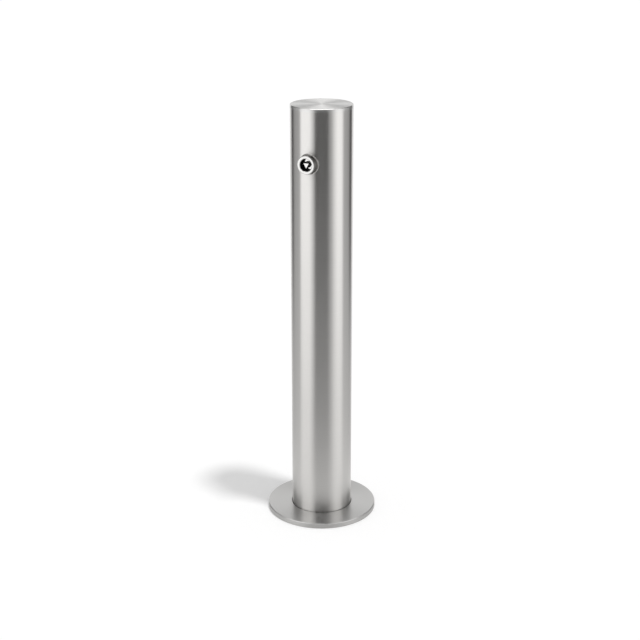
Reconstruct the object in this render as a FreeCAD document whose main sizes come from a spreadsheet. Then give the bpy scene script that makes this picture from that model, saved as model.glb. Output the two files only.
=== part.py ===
# Removable bollard: a brushed stainless post that drops over a spigot on a round base flange.
# A triangular key in the boss near the top turns a pinion, the pinion drives a rack plate and a rod,
# and the rod's cam yoke slides two jaws round the neck of the king pin on the spigot.
# Units are millimetres. Z is up, the origin is the centre of the flange's underside,
# and the key boss points to -Y. The lock is modelled released, with the post standing on its base.
import FreeCAD, Part
import math
import os

import Sketcher

PRESSURE_ANGLE = 20
FULL_TURN = 360
ORIGIN_POINT = (-1, 1)
HORIZONTAL_AXIS_INDEX = -1
VERTICAL_AXIS_INDEX = -2

# Name, value in millimetres (teeth and holes are counts), and what it measures
DRIVING_SIZES = [
    ("post_height", 793, "ground to the top of the cap"),
    ("post_diameter", 114.3, "outside of the post tube"),
    ("post_wall", 3, "wall of the post tube"),
    ("weld_gap", 0.15, "gap between a welded-in piece and the tube"),
    ("cap_thickness", 6, "cap disc above the tube's end"),
    ("cap_edge_radius", 2, "round on the cap's rim"),
    ("cap_register_depth", 4, "step of the cap that enters the tube"),
    ("flange_diameter", 208, "base flange"),
    ("flange_thickness", 10, "base flange"),
    ("flange_edge_chamfer", 1.2, "bevel on the flange's upper rim"),
    ("foot_recess_depth", 3, "turned recess that the post's foot enters"),
    ("foot_gap", 1.2, "open ring round the post's foot"),
    ("gasket_thickness", 2, "rubber ring under the post's foot"),
    ("gasket_lip", 2, "gasket inside the tube's bore"),
    ("drain_diameter", 20, "drain hole inside the spigot"),
    ("anchor_circle", 84, "pitch circle of the anchor holes"),
    ("anchor_hole", 12, "holes for M10 anchors"),
    ("anchor_count", 4, "number of anchor holes"),
    ("dowel_diameter", 8, "locating dowel"),
    ("dowel_depth", 6, "dowel pressed into the flange"),
    ("dowel_rise", 4, "dowel's cone above the guide ring"),
    ("press_gap", 0.02, "radial gap drawn in a press fit"),
    ("spigot_diameter", 60.3, "outside of the spigot tube"),
    ("spigot_wall", 3.6, "wall of the spigot tube"),
    ("spigot_top", 262, "ground to the spigot tube's end"),
    ("plug_length", 20, "king pin's plug inside the spigot"),
    ("shoulder_height", 6, "king pin's shoulder on the spigot"),
    ("shoulder_chamfer", 2, "lead-in on that shoulder"),
    ("kingpin_diameter", 26, "king pin's shank and head"),
    ("neck_diameter", 18, "neck that the jaws close on"),
    ("head_height", 4, "straight part of the king pin's head"),
    ("nose_height", 10, "cone on the king pin's head"),
    ("nose_diameter", 16, "top of that cone"),
    ("guide_gap", 0.5, "radial running gap of the post on its guides"),
    ("guide_ring_level", 40, "underside of the lower guide ring"),
    ("guide_ring_thickness", 8, "lower guide ring"),
    ("liner_wall", 4.5, "nylon liner in the lower guide ring"),
    ("liner_lip", 2, "thickness of the liner's lip"),
    ("liner_lip_width", 3, "how far the lip stands out"),
    ("bulkhead_level", 308, "underside of the jaw bulkhead"),
    ("bulkhead_thickness", 8, "jaw bulkhead"),
    ("jaw_thickness", 12, "height of a jaw"),
    ("jaw_width", 36, "jaw across the slide"),
    ("jaw_end_gap", 2, "open jaw's corners to the tube's bore"),
    ("jaw_travel", 10, "stroke of each jaw"),
    ("jaw_meeting_gap", 0.5, "half the gap between the closed jaws"),
    ("jaw_notch_gap", 0.5, "gap of the closed jaw round the neck"),
    ("jaw_pin_inset", 11, "jaw pin from the jaw's outer end"),
    ("jaw_pin_diameter", 6, "pin that runs in the yoke's slot"),
    ("slide_gap", 0.2, "gap between sliding faces"),
    ("head_play", 0.6, "play of the closed jaws under the head"),
    ("rail_width", 11, "rail beside the jaws"),
    ("rail_inset", 6, "rail's end inside the cover's end"),
    ("cover_end_gap", 1.6, "cover's corners to the tube's bore"),
    ("cover_thickness", 4, "plate over the jaws"),
    ("screw_diameter", 5, "screws of the jaw cover and lock case"),
    ("screw_gap", 0.05, "radial gap drawn round a screw"),
    ("screw_head_diameter", 8.5, "socket head"),
    ("screw_head_height", 5, "socket head"),
    ("screw_socket", 4, "hexagon socket across flats"),
    ("cover_screw_inset", 8, "cover screws from the rail's ends"),
    ("yoke_thickness", 6, "cam yoke plate"),
    ("yoke_wall", 3.5, "metal round the yoke's slots"),
    ("yoke_gap", 0.3, "gap beside the yoke in its slots"),
    ("slot_gap", 0.15, "gap round the jaw pin in the yoke's slot"),
    ("bridge_rise", 22, "yoke's bridge above the king pin"),
    ("bridge_height", 16, "yoke's bridge"),
    ("tongue_width", 12, "tongues that enter the rod"),
    ("tongue_length", 18, "tongues that enter the rod"),
    ("rod_diameter", 14, "pull rod"),
    ("rod_end_gap", 1, "rod's end to the plate"),
    ("rod_slot_gap", 0.1, "gap beside a tongue in the rod"),
    ("rod_pin_diameter", 5, "pins through the rod's ends"),
    ("rod_guide_drop", 176, "spindle's axis down to the rod guide"),
    ("rod_guide_thickness", 5, "rod guide disc"),
    ("rod_guide_window", 26, "holes in the rod guide"),
    ("rod_guide_window_circle", 66, "pitch circle of those holes"),
    ("rod_bush_wall", 3, "nylon bush round the rod"),
    ("rod_bush_length", 14, "nylon bush round the rod"),
    ("lock_drop", 98, "cap's top down to the key spindle's axis"),
    ("boss_diameter", 34, "key boss"),
    ("boss_protrusion", 12.5, "key boss in front of the tube"),
    ("boss_length", 24, "key boss from front to back"),
    ("boss_rim_radius", 1.6, "round on the boss's front rim"),
    ("key_recess_diameter", 23, "recess round the triangle"),
    ("key_recess_depth", 16, "recess round the triangle, down to the seal's seat"),
    ("triangle_height", 10.5, "key triangle, flat to point"),
    ("triangle_inset", 2, "triangle's end behind the boss's rim"),
    ("triangle_bevel", 0.6, "bevel on the triangle's end"),
    ("spindle_diameter", 14, "key spindle's journal"),
    ("spindle_collar", 2, "thickness of the collar that closes the recess behind the triangle"),
    ("collar_gap", 0.3, "gap round the collar"),
    ("seal_thickness", 2, "rubber seal behind the collar"),
    ("bearing_gap", 0.05, "radial running gap of the spindle"),
    ("bush_wall", 2, "bronze bushes"),
    ("bush_flange", 1.5, "bronze bushes' flanges"),
    ("bush_flange_width", 2, "how far the flanges stand out"),
    ("gear_module", 1.5, "pinion and rack"),
    ("pinion_teeth", 16, "number of teeth"),
    ("gear_backlash", 0.15, "play between the teeth"),
    ("pinion_width", 7, "toothed width"),
    ("hub_diameter", 17, "pinion's hub"),
    ("hub_gap", 0.3, "play of the hub between the case plates"),
    ("seat_diameter", 11, "spindle inside the pinion"),
    ("seat_flat", 1, "depth of the driving flat"),
    ("tail_diameter", 9, "spindle in the rear bush"),
    ("tail_length", 4.2, "spindle behind the rear bush"),
    ("clip_thickness", 1, "retaining clip"),
    ("clip_groove_depth", 0.6, "groove for the clip"),
    ("clip_diameter", 15, "outside of the clip"),
    ("spring_washer_height", 1.2, "dished friction washer"),
    ("spring_washer_sheet", 0.6, "thickness of its sheet"),
    ("spring_washer_gap", 0.2, "gap between it and the spindle's tail"),
    ("rack_plate_thickness", 5, "rack plate"),
    ("rack_plate_width", 56, "rack plate"),
    ("rack_plate_band", 12, "plate above and below the window"),
    ("window_gap", 1.5, "window round the pinion"),
    ("case_inner_gap", 15, "between the lock case plates"),
    ("case_plate_thickness", 4, "lock case plates"),
    ("case_rise", 52, "lock case above the spindle"),
    ("case_drop", 46, "lock case below the spindle"),
    ("guide_block_width", 16, "nylon guide beside the rack plate"),
    ("guide_groove", 4, "depth of the groove in that guide"),
    ("case_screw_inset", 10, "case screws from the case's ends"),
]

doc = FreeCAD.newDocument("RemovableBollard")
sizes = doc.addObject("Spreadsheet::Sheet", "Sizes")
for row, (alias, value, meaning) in enumerate(DRIVING_SIZES, start=1):
    sizes.set(f"A{row}", alias)
    sizes.set(f"B{row}", str(value))
    sizes.set(f"C{row}", meaning)
    sizes.setAlias(f"B{row}", alias)
doc.recompute()

subparts = []

# Places worked out from the driving sizes, as expressions
POST_RADIUS = "Sizes.post_diameter / 2"
BORE_RADIUS = f"({POST_RADIUS} - Sizes.post_wall)"
WELDED_RADIUS = f"({BORE_RADIUS} - Sizes.weld_gap)"
RECESS_RADIUS = f"({POST_RADIUS} + Sizes.foot_gap)"
RECESS_FLOOR = "(Sizes.flange_thickness - Sizes.foot_recess_depth)"
FOOT_LEVEL = f"({RECESS_FLOOR} + Sizes.gasket_thickness)"
TUBE_TOP = "(Sizes.post_height - Sizes.cap_thickness)"
LOCK_LEVEL = "(Sizes.post_height - Sizes.lock_drop)"
ROD_GUIDE_LEVEL = f"({LOCK_LEVEL} - Sizes.rod_guide_drop)"
SPIGOT_RADIUS = "Sizes.spigot_diameter / 2"
SPIGOT_BORE_RADIUS = f"({SPIGOT_RADIUS} - Sizes.spigot_wall)"
LINER_BORE_RADIUS = f"({SPIGOT_RADIUS} + Sizes.guide_gap)"
LINER_RADIUS = f"({LINER_BORE_RADIUS} + Sizes.liner_wall)"
LIP_RADIUS = f"({LINER_RADIUS} + Sizes.liner_lip_width)"
DOWEL_PLACE = f"(({LIP_RADIUS} + {BORE_RADIUS}) / 2)"
KINGPIN_RADIUS = "Sizes.kingpin_diameter / 2"
NECK_RADIUS = "Sizes.neck_diameter / 2"
SHOULDER_TOP = "(Sizes.spigot_top + Sizes.shoulder_height)"
BULKHEAD_TOP = "(Sizes.bulkhead_level + Sizes.bulkhead_thickness)"
JAW_LEVEL = f"({BULKHEAD_TOP} + Sizes.slide_gap)"
JAW_TOP = f"({JAW_LEVEL} + Sizes.jaw_thickness)"
RAIL_HEIGHT = "(Sizes.jaw_thickness + 2 * Sizes.slide_gap)"
COVER_LEVEL = f"({BULKHEAD_TOP} + {RAIL_HEIGHT})"
COVER_TOP = f"({COVER_LEVEL} + Sizes.cover_thickness)"
HEAD_LEVEL = f"({JAW_TOP} + Sizes.head_play)"
HEAD_TOP = f"({HEAD_LEVEL} + Sizes.head_height)"
KINGPIN_TOP = f"({HEAD_TOP} + Sizes.nose_height)"
JAW_PIN_LEVEL = f"({JAW_LEVEL} + Sizes.jaw_thickness / 2)"
JAW_PIN_RADIUS = "Sizes.jaw_pin_diameter / 2"
JAW_NEAR = "(Sizes.jaw_meeting_gap + Sizes.jaw_travel)"
JAW_FAR = f"(sqrt({BORE_RADIUS}^2 - (Sizes.jaw_width / 2)^2) - Sizes.jaw_end_gap)"
JAW_PIN_OPEN = f"({JAW_FAR} - Sizes.jaw_pin_inset)"
JAW_PIN_CLOSED = f"({JAW_PIN_OPEN} - Sizes.jaw_travel)"
RAIL_START = "(Sizes.jaw_width / 2 + Sizes.slide_gap)"
RAIL_MIDDLE = f"({RAIL_START} + Sizes.rail_width / 2)"
RAIL_END = f"({RAIL_START} + Sizes.rail_width)"
COVER_HALF = f"(sqrt({BORE_RADIUS}^2 - {RAIL_END}^2) - Sizes.cover_end_gap)"
RAIL_HALF = f"({COVER_HALF} - Sizes.rail_inset)"
COVER_SCREW_PLACE = f"({RAIL_HALF} - Sizes.cover_screw_inset)"
SCREW_RADIUS = "Sizes.screw_diameter / 2"
SCREW_HOLE_RADIUS = f"({SCREW_RADIUS} + Sizes.screw_gap)"
PITCH_RADIUS = "(Sizes.gear_module * Sizes.pinion_teeth / 2)"
TOOTH_PITCH = "(Sizes.gear_module * pi)"
ROD_TRAVEL = f"({PITCH_RADIUS} * pi / 2)"
CAM_SLOPE = f"(Sizes.jaw_travel / {ROD_TRAVEL})"
YOKE_SLOT_RADIUS = f"({JAW_PIN_RADIUS} + Sizes.slot_gap)"
YOKE_LEG_RADIUS = f"({YOKE_SLOT_RADIUS} + Sizes.yoke_wall)"
YOKE_LEG_SPREAD = f"({YOKE_LEG_RADIUS} * sqrt(1 + {CAM_SLOPE}^2))"
YOKE_SLIT = "(Sizes.yoke_thickness / 2 + Sizes.yoke_gap)"
BRIDGE_LEVEL = f"({KINGPIN_TOP} + Sizes.bridge_rise)"
BRIDGE_TOP = f"({BRIDGE_LEVEL} + Sizes.bridge_height)"
ROD_RADIUS = "Sizes.rod_diameter / 2"
ROD_PIN_RADIUS = "Sizes.rod_pin_diameter / 2"
OUTER_TOOTH_RADIUS = f"({PITCH_RADIUS} + Sizes.gear_module)"
WINDOW_RADIUS = f"({OUTER_TOOTH_RADIUS} + Sizes.window_gap)"
WINDOW_TOP = f"({ROD_TRAVEL} + {WINDOW_RADIUS})"
RACK_ROOT = f"({PITCH_RADIUS} + 1.25 * Sizes.gear_module)"
PLATE_BOTTOM = f"(-{WINDOW_RADIUS} - Sizes.rack_plate_band)"
PLATE_TOP = f"({WINDOW_TOP} + Sizes.rack_plate_band)"
ROD_TOP = f"({LOCK_LEVEL} + {PLATE_BOTTOM} - Sizes.rod_end_gap)"
ROD_BOTTOM = f"({BRIDGE_TOP} + Sizes.rod_end_gap)"
LOWER_ROD_PIN_LEVEL = f"({BRIDGE_TOP} + Sizes.tongue_length / 2)"
UPPER_ROD_PIN_LEVEL = f"({LOCK_LEVEL} + {PLATE_BOTTOM} - Sizes.tongue_length / 2)"
BOSS_FRONT = f"({POST_RADIUS} + Sizes.boss_protrusion)"
RECESS_END = f"({BOSS_FRONT} - Sizes.key_recess_depth)"
BOSS_BACK = f"({BOSS_FRONT} - Sizes.boss_length)"
SEAL_FRONT = f"({RECESS_END} + Sizes.seal_thickness)"
COLLAR_FRONT = f"({SEAL_FRONT} + Sizes.spindle_collar)"
TRIANGLE_FRONT = f"({BOSS_FRONT} - Sizes.triangle_inset)"
JOURNAL_RADIUS = "Sizes.spindle_diameter / 2"
FRONT_BUSH_RADIUS = f"({JOURNAL_RADIUS} + Sizes.bearing_gap + Sizes.bush_wall)"
TAIL_RADIUS = "Sizes.tail_diameter / 2"
REAR_BUSH_RADIUS = f"({TAIL_RADIUS} + Sizes.bearing_gap + Sizes.bush_wall)"
SEAT_RADIUS = "Sizes.seat_diameter / 2"
CASE_FACE = "Sizes.case_inner_gap / 2"
HUB_END = f"({CASE_FACE} - Sizes.hub_gap)"
CASE_BACK = f"({CASE_FACE} + Sizes.case_plate_thickness)"
REAR_BUSH_END = f"({CASE_BACK} + Sizes.bush_flange)"
CLIP_FRONT = f"({REAR_BUSH_END} + Sizes.spring_washer_height)"
TAIL_END = f"({REAR_BUSH_END} + Sizes.tail_length)"
CASE_SCREW_PLACE = "(Sizes.rack_plate_width / 2 + Sizes.guide_block_width / 2)"


def number(expression):
    """The value of an expression of the size sheet, in millimetres."""
    return float(sizes.evalExpression(expression)) if expression else 0.0


def keep(piece, label, level=None):
    """Lists a finished sub-part under its name, lifted to its level."""
    piece.Label = label
    if level:
        piece.setExpression("Placement.Base.z", level)
    subparts.append(piece)
    return piece


def origin_feature(body, role):
    return next(f for f in body.Origin.OriginFeatures if f.Role == role)


def new_sketch(body, name, plane, offset=None):
    sketch = body.newObject("Sketcher::SketchObject", name)
    sketch.AttachmentSupport = (origin_feature(body, plane), [""])
    sketch.MapMode = "FlatFace"
    if offset:
        sketch.setExpression("AttachmentOffset.Base.z", offset)
    return sketch


def place_point(sketch, geometry, point, expressions):
    """Ties one sketch point to two expressions. An empty one keeps the point on that axis."""
    for kind, axis, expression in zip(
        ("DistanceX", "DistanceY"), (VERTICAL_AXIS_INDEX, HORIZONTAL_AXIS_INDEX), expressions
    ):
        if expression:
            constraint = Sketcher.Constraint(kind, *ORIGIN_POINT, geometry, point, number(expression))
            index = sketch.addConstraint(constraint)
            sketch.setExpression(f"Constraints[{index}]", expression)
        else:
            sketch.addConstraint(Sketcher.Constraint("PointOnObject", geometry, point, axis))


def outline(sketch, corners):
    """A closed straight-sided outline through corners given as pairs of expressions."""
    spots = [FreeCAD.Vector(number(x), number(y), 0) for x, y in corners]
    first = sketch.GeometryCount
    count = len(spots)
    for i in range(count):
        sketch.addGeometry(Part.LineSegment(spots[i], spots[(i + 1) % count]), False)
    for i in range(count):
        joined = Sketcher.Constraint("Coincident", first + i, 2, first + (i + 1) % count, 1)
        sketch.addConstraint(joined)
    for i, corner in enumerate(corners):
        place_point(sketch, first + i, 1, corner)
    return sketch


def circle(sketch, centre, radius):
    spot = FreeCAD.Vector(number(centre[0]), number(centre[1]), 0)
    up = FreeCAD.Vector(0, 0, 1)
    index = sketch.addGeometry(Part.Circle(spot, up, number(radius)), False)
    place_point(sketch, index, 3, centre)
    constraint = sketch.addConstraint(Sketcher.Constraint("Radius", index, number(radius)))
    sketch.setExpression(f"Constraints[{constraint}]", radius)
    return sketch


def slot(sketch, low, high, radius):
    """A slot with round ends of one radius, from the centre low to the centre high."""
    a = FreeCAD.Vector(number(low[0]), number(low[1]), 0)
    b = FreeCAD.Vector(number(high[0]), number(high[1]), 0)
    r = number(radius)
    up = FreeCAD.Vector(0, 0, 1)
    heading = math.atan2(b.y - a.y, b.x - a.x)
    side = FreeCAD.Vector(-math.sin(heading), math.cos(heading), 0) * r
    quarter = math.pi / 2
    start = Part.ArcOfCircle(Part.Circle(a, up, r), heading + quarter, heading + 3 * quarter)
    end = Part.ArcOfCircle(Part.Circle(b, up, r), heading - quarter, heading + quarter)
    first = sketch.GeometryCount
    sketch.addGeometry(start, False)
    sketch.addGeometry(Part.LineSegment(a - side, b - side), False)
    sketch.addGeometry(end, False)
    sketch.addGeometry(Part.LineSegment(b + side, a + side), False)
    for i in range(4):
        sketch.addConstraint(Sketcher.Constraint("Tangent", first + i, 2, first + (i + 1) % 4, 1))
    place_point(sketch, first, 3, low)
    place_point(sketch, first + 2, 3, high)
    constraint = sketch.addConstraint(Sketcher.Constraint("Radius", first, r))
    sketch.setExpression(f"Constraints[{constraint}]", radius)
    return sketch


def turn(body, name, plane, corners):
    """A solid turned from a half section round the sketch's vertical axis."""
    sketch = outline(new_sketch(body, name + "Section", plane), corners)
    turned = body.newObject("PartDesign::Revolution", name)
    turned.Profile = sketch
    turned.ReferenceAxis = (sketch, ["V_Axis"])
    turned.Angle = FULL_TURN
    return turned


def pad(body, name, sketch, length, midplane=False, back=False):
    padded = body.newObject("PartDesign::Pad", name)
    padded.Profile = sketch
    padded.setExpression("Length", length)
    padded.Midplane = midplane
    padded.Reversed = back
    return padded


def pocket(body, name, sketch, length=None, back=False):
    """Cuts a sketch to a depth, or through everything on both sides where no depth is given."""
    cut = body.newObject("PartDesign::Pocket", name)
    cut.Profile = sketch
    if length:
        cut.setExpression("Length", length)
        cut.Reversed = back
    else:
        cut.Type = "ThroughAll"
        cut.Midplane = True
    return cut


def mirror(body, name, features, plane):
    mirrored = body.newObject("PartDesign::Mirrored", name)
    mirrored.Originals = features
    mirrored.MirrorPlane = (origin_feature(body, plane), [""])
    body.Tip = mirrored
    return mirrored


def polar(body, name, features, axis, count):
    pattern = body.newObject("PartDesign::PolarPattern", name)
    pattern.Originals = features
    pattern.Axis = (origin_feature(body, axis), [""])
    pattern.Angle = FULL_TURN
    pattern.setExpression("Occurrences", count)
    body.Tip = pattern
    return pattern


def ring_edges(shape, radius, place):
    """Names of the circles of a radius whose centre lies at a place along the Y or Z axis."""
    found = []
    for i, edge in enumerate(shape.Edges, start=1):
        if not isinstance(edge.Curve, Part.Circle):
            continue
        along = edge.Curve.Center.dot(FreeCAD.Vector(0, 1, 1))
        if math.isclose(edge.Curve.Radius, radius) and math.isclose(along, place):
            found.append(f"Edge{i}")
    return found


def rounded(body, name, kind, edges, size):
    """A fillet or chamfer of the body's present end feature on the named edges."""
    base = body.Tip
    eased = body.newObject(f"PartDesign::{kind}", name)
    eased.Base = (base, edges)
    eased.setExpression("Radius" if kind == "Fillet" else "Size", size)
    body.Tip = eased
    return eased


def new_body(name):
    return doc.addObject("PartDesign::Body", name)


def tube_section(inner, outer, bottom, top):
    return [(inner, bottom), (outer, bottom), (outer, top), (inner, top)]


# The fixed base: flange, gasket, dowel, spigot and king pin
def build_base_flange():
    body = new_body("BaseFlange")
    rim = "Sizes.flange_diameter / 2"
    chamfer = "Sizes.flange_edge_chamfer"
    drain = "Sizes.drain_diameter / 2"
    top = "Sizes.flange_thickness"
    turn(body, "FlangeDisc", "XZ_Plane", [
        (drain, ""), (f"{rim} - {chamfer} / 2", ""), (rim, f"{chamfer} / 2"),
        (rim, f"{top} - {chamfer}"), (f"{rim} - {chamfer}", top), (RECESS_RADIUS, top),
        (RECESS_RADIUS, RECESS_FLOOR), (drain, RECESS_FLOOR),
    ])
    doc.recompute()
    place = "Sizes.anchor_circle / 2 * cos(45 deg)"
    anchor = circle(new_sketch(body, "AnchorPlace", "XY_Plane"), (place, place), "Sizes.anchor_hole / 2")
    hole = pocket(body, "AnchorHole", anchor)
    polar(body, "AnchorHoles", [hole], "Z_Axis", "Sizes.anchor_count")
    dowel = new_sketch(body, "DowelPlace", "XY_Plane", RECESS_FLOOR)
    circle(dowel, (DOWEL_PLACE, ""), "Sizes.dowel_diameter / 2 + Sizes.press_gap")
    body.Tip = pocket(body, "DowelHole", dowel, "Sizes.dowel_depth")
    return keep(body, "base_flange")


def build_foot_gasket():
    body = new_body("FootGasket")
    inner = f"{BORE_RADIUS} - Sizes.gasket_lip"
    outer = f"{RECESS_RADIUS} - Sizes.weld_gap"
    turn(body, "GasketRing", "XZ_Plane", tube_section(inner, outer, "", "Sizes.gasket_thickness"))
    return keep(body, "foot_gasket", RECESS_FLOOR)


def build_locating_dowel():
    body = new_body("LocatingDowel")
    radius = "Sizes.dowel_diameter / 2"
    bottom = f"{RECESS_FLOOR} - Sizes.dowel_depth"
    top = "Sizes.guide_ring_level + Sizes.guide_ring_thickness"
    turn(body, "DowelPin", "XZ_Plane", [
        ("", bottom), (radius, bottom), (radius, top),
        (f"{radius} / 2", f"{top} + Sizes.dowel_rise"), ("", f"{top} + Sizes.dowel_rise"),
    ])
    body.setExpression("Placement.Base.x", DOWEL_PLACE)
    return keep(body, "locating_dowel")


def build_spigot_tube():
    body = new_body("SpigotTube")
    section = tube_section(SPIGOT_BORE_RADIUS, SPIGOT_RADIUS, RECESS_FLOOR, "Sizes.spigot_top")
    turn(body, "SpigotWall", "XZ_Plane", section)
    return keep(body, "spigot_tube")


def build_king_pin():
    body = new_body("KingPin")
    plug = f"{SPIGOT_BORE_RADIUS} - Sizes.press_gap"
    plug_bottom = "Sizes.spigot_top - Sizes.plug_length"
    chamfer = "Sizes.shoulder_chamfer"
    neck_bottom = f"{BULKHEAD_TOP} - Sizes.slide_gap"
    nose = "Sizes.nose_diameter / 2"
    turn(body, "KingPinTurned", "XZ_Plane", [
        ("", plug_bottom), (plug, plug_bottom), (plug, "Sizes.spigot_top"),
        (SPIGOT_RADIUS, "Sizes.spigot_top"), (SPIGOT_RADIUS, f"{SHOULDER_TOP} - {chamfer}"),
        (f"{SPIGOT_RADIUS} - {chamfer}", SHOULDER_TOP), (KINGPIN_RADIUS, SHOULDER_TOP),
        (KINGPIN_RADIUS, neck_bottom), (NECK_RADIUS, neck_bottom), (NECK_RADIUS, HEAD_LEVEL),
        (KINGPIN_RADIUS, HEAD_LEVEL), (KINGPIN_RADIUS, HEAD_TOP), (nose, KINGPIN_TOP),
        ("", KINGPIN_TOP),
    ])
    return keep(body, "king_pin")


# The post: tube, cap, guide rings
def build_post_tube():
    body = new_body("PostTube")
    section = tube_section(BORE_RADIUS, POST_RADIUS, FOOT_LEVEL, TUBE_TOP)
    turn(body, "PostWall", "XZ_Plane", section)
    doc.recompute()
    hole = circle(new_sketch(body, "BossHolePlace", "XZ_Plane"),
                  ("", LOCK_LEVEL), "Sizes.boss_diameter / 2 + Sizes.press_gap")
    body.Tip = pocket(body, "BossHole", hole, POST_RADIUS, back=True)
    return keep(body, "post_tube")


def build_top_cap():
    body = new_body("TopCap")
    register = WELDED_RADIUS
    turn(body, "CapDisc", "XZ_Plane", [
        ("", f"{TUBE_TOP} - Sizes.cap_register_depth"), (register, f"{TUBE_TOP} - Sizes.cap_register_depth"),
        (register, TUBE_TOP), (POST_RADIUS, TUBE_TOP), (POST_RADIUS, "Sizes.post_height"),
        ("", "Sizes.post_height"),
    ])
    doc.recompute()
    rim = ring_edges(body.Shape, number(POST_RADIUS), number("Sizes.post_height"))
    rounded(body, "RimRound", "Fillet", rim, "Sizes.cap_edge_radius")
    return keep(body, "top_cap")


def build_guide_ring():
    body = new_body("LowerGuideRing")
    section = tube_section(LINER_RADIUS, WELDED_RADIUS, "", "Sizes.guide_ring_thickness")
    turn(body, "GuideDisc", "XZ_Plane", section)
    doc.recompute()
    dowel = circle(new_sketch(body, "DowelClearance", "XY_Plane"),
                   (DOWEL_PLACE, ""), "Sizes.dowel_diameter / 2 + Sizes.guide_gap")
    body.Tip = pocket(body, "DowelHole", dowel)
    return keep(body, "lower_guide_ring", "Sizes.guide_ring_level")


def build_guide_liner():
    body = new_body("GuideLiner")
    outer = f"{LINER_RADIUS} - Sizes.press_gap"
    top = "Sizes.guide_ring_thickness"
    flare = "Sizes.liner_lip / 2"
    turn(body, "LinerTurned", "XZ_Plane", [
        (f"{LINER_BORE_RADIUS} + {flare}", "-Sizes.liner_lip"), (LIP_RADIUS, "-Sizes.liner_lip"),
        (LIP_RADIUS, ""), (outer, ""), (outer, top), (LINER_BORE_RADIUS, top),
        (LINER_BORE_RADIUS, "-Sizes.liner_lip + " + flare),
    ])
    return keep(body, "spigot_guide_liner", "Sizes.guide_ring_level")


# The jaw slide above the spigot
def build_bulkhead():
    body = new_body("JawBulkhead")
    bore = f"{KINGPIN_RADIUS} + Sizes.guide_gap"
    turn(body, "BulkheadDisc", "XZ_Plane", tube_section(bore, WELDED_RADIUS, "", "Sizes.bulkhead_thickness"))
    doc.recompute()
    reach = f"({YOKE_LEG_RADIUS} + Sizes.yoke_gap)"
    outer = f"{JAW_PIN_OPEN} + {reach}"
    inner = f"{JAW_PIN_CLOSED} - {reach}"
    opening = outline(new_sketch(body, "YokeOpening", "XY_Plane"), [
        (inner, "-" + YOKE_SLIT), (outer, "-" + YOKE_SLIT), (outer, YOKE_SLIT), (inner, YOKE_SLIT),
    ])
    cut = pocket(body, "YokeSlot", opening)
    mirror(body, "YokeSlots", [cut], "YZ_Plane")
    drill_cover_screws(body)
    return keep(body, "jaw_bulkhead", "Sizes.bulkhead_level")


def drill_cover_screws(body):
    """Four holes on the jaw cover's screw pattern, through everything."""
    holes = new_sketch(body, "ScrewPlaces", "XY_Plane")
    for side in ("", "-"):
        for end in ("", "-"):
            circle(holes, (end + COVER_SCREW_PLACE, side + RAIL_MIDDLE), SCREW_HOLE_RADIUS)
    body.Tip = pocket(body, "ScrewHoles", holes)


def build_rail(label, side):
    """A bar beside the jaws: side is an empty string for +Y and a minus sign for -Y."""
    body = new_body(label.title().replace("_", ""))
    near = side + RAIL_START
    far = side + RAIL_END
    bar = outline(new_sketch(body, "RailOutline", "XY_Plane"), [
        ("-" + RAIL_HALF, near), (RAIL_HALF, near), (RAIL_HALF, far), ("-" + RAIL_HALF, far),
    ])
    pad(body, "RailBar", bar, RAIL_HEIGHT)
    doc.recompute()
    holes = new_sketch(body, "ScrewPlaces", "XY_Plane")
    for end in ("", "-"):
        circle(holes, (end + COVER_SCREW_PLACE, side + RAIL_MIDDLE), SCREW_HOLE_RADIUS)
    body.Tip = pocket(body, "ScrewHoles", holes)
    return keep(body, label, BULKHEAD_TOP)


def build_jaw_cover():
    body = new_body("JawCover")
    plate = outline(new_sketch(body, "CoverOutline", "XY_Plane"), [
        ("-" + COVER_HALF, "-" + RAIL_END), (COVER_HALF, "-" + RAIL_END),
        (COVER_HALF, RAIL_END), ("-" + COVER_HALF, RAIL_END),
    ])
    pad(body, "CoverPlate", plate, "Sizes.cover_thickness")
    doc.recompute()
    head_hole = f"{KINGPIN_RADIUS} + 2 * Sizes.guide_gap"
    centre = circle(new_sketch(body, "HeadOpening", "XY_Plane"), ("", ""), head_hole)
    pocket(body, "HeadHole", centre)
    rise = "(Sizes.jaw_thickness / 2 + Sizes.slide_gap)"
    end = f"({JAW_PIN_OPEN} - {CAM_SLOPE} * {rise} + {YOKE_LEG_SPREAD} + Sizes.yoke_gap)"
    long_slot = outline(new_sketch(body, "YokeOpening", "XY_Plane"), [
        ("-" + end, "-" + YOKE_SLIT), (end, "-" + YOKE_SLIT), (end, YOKE_SLIT), ("-" + end, YOKE_SLIT),
    ])
    pocket(body, "YokeSlot", long_slot)
    drill_cover_screws(body)
    return keep(body, "jaw_cover", COVER_LEVEL)


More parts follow.
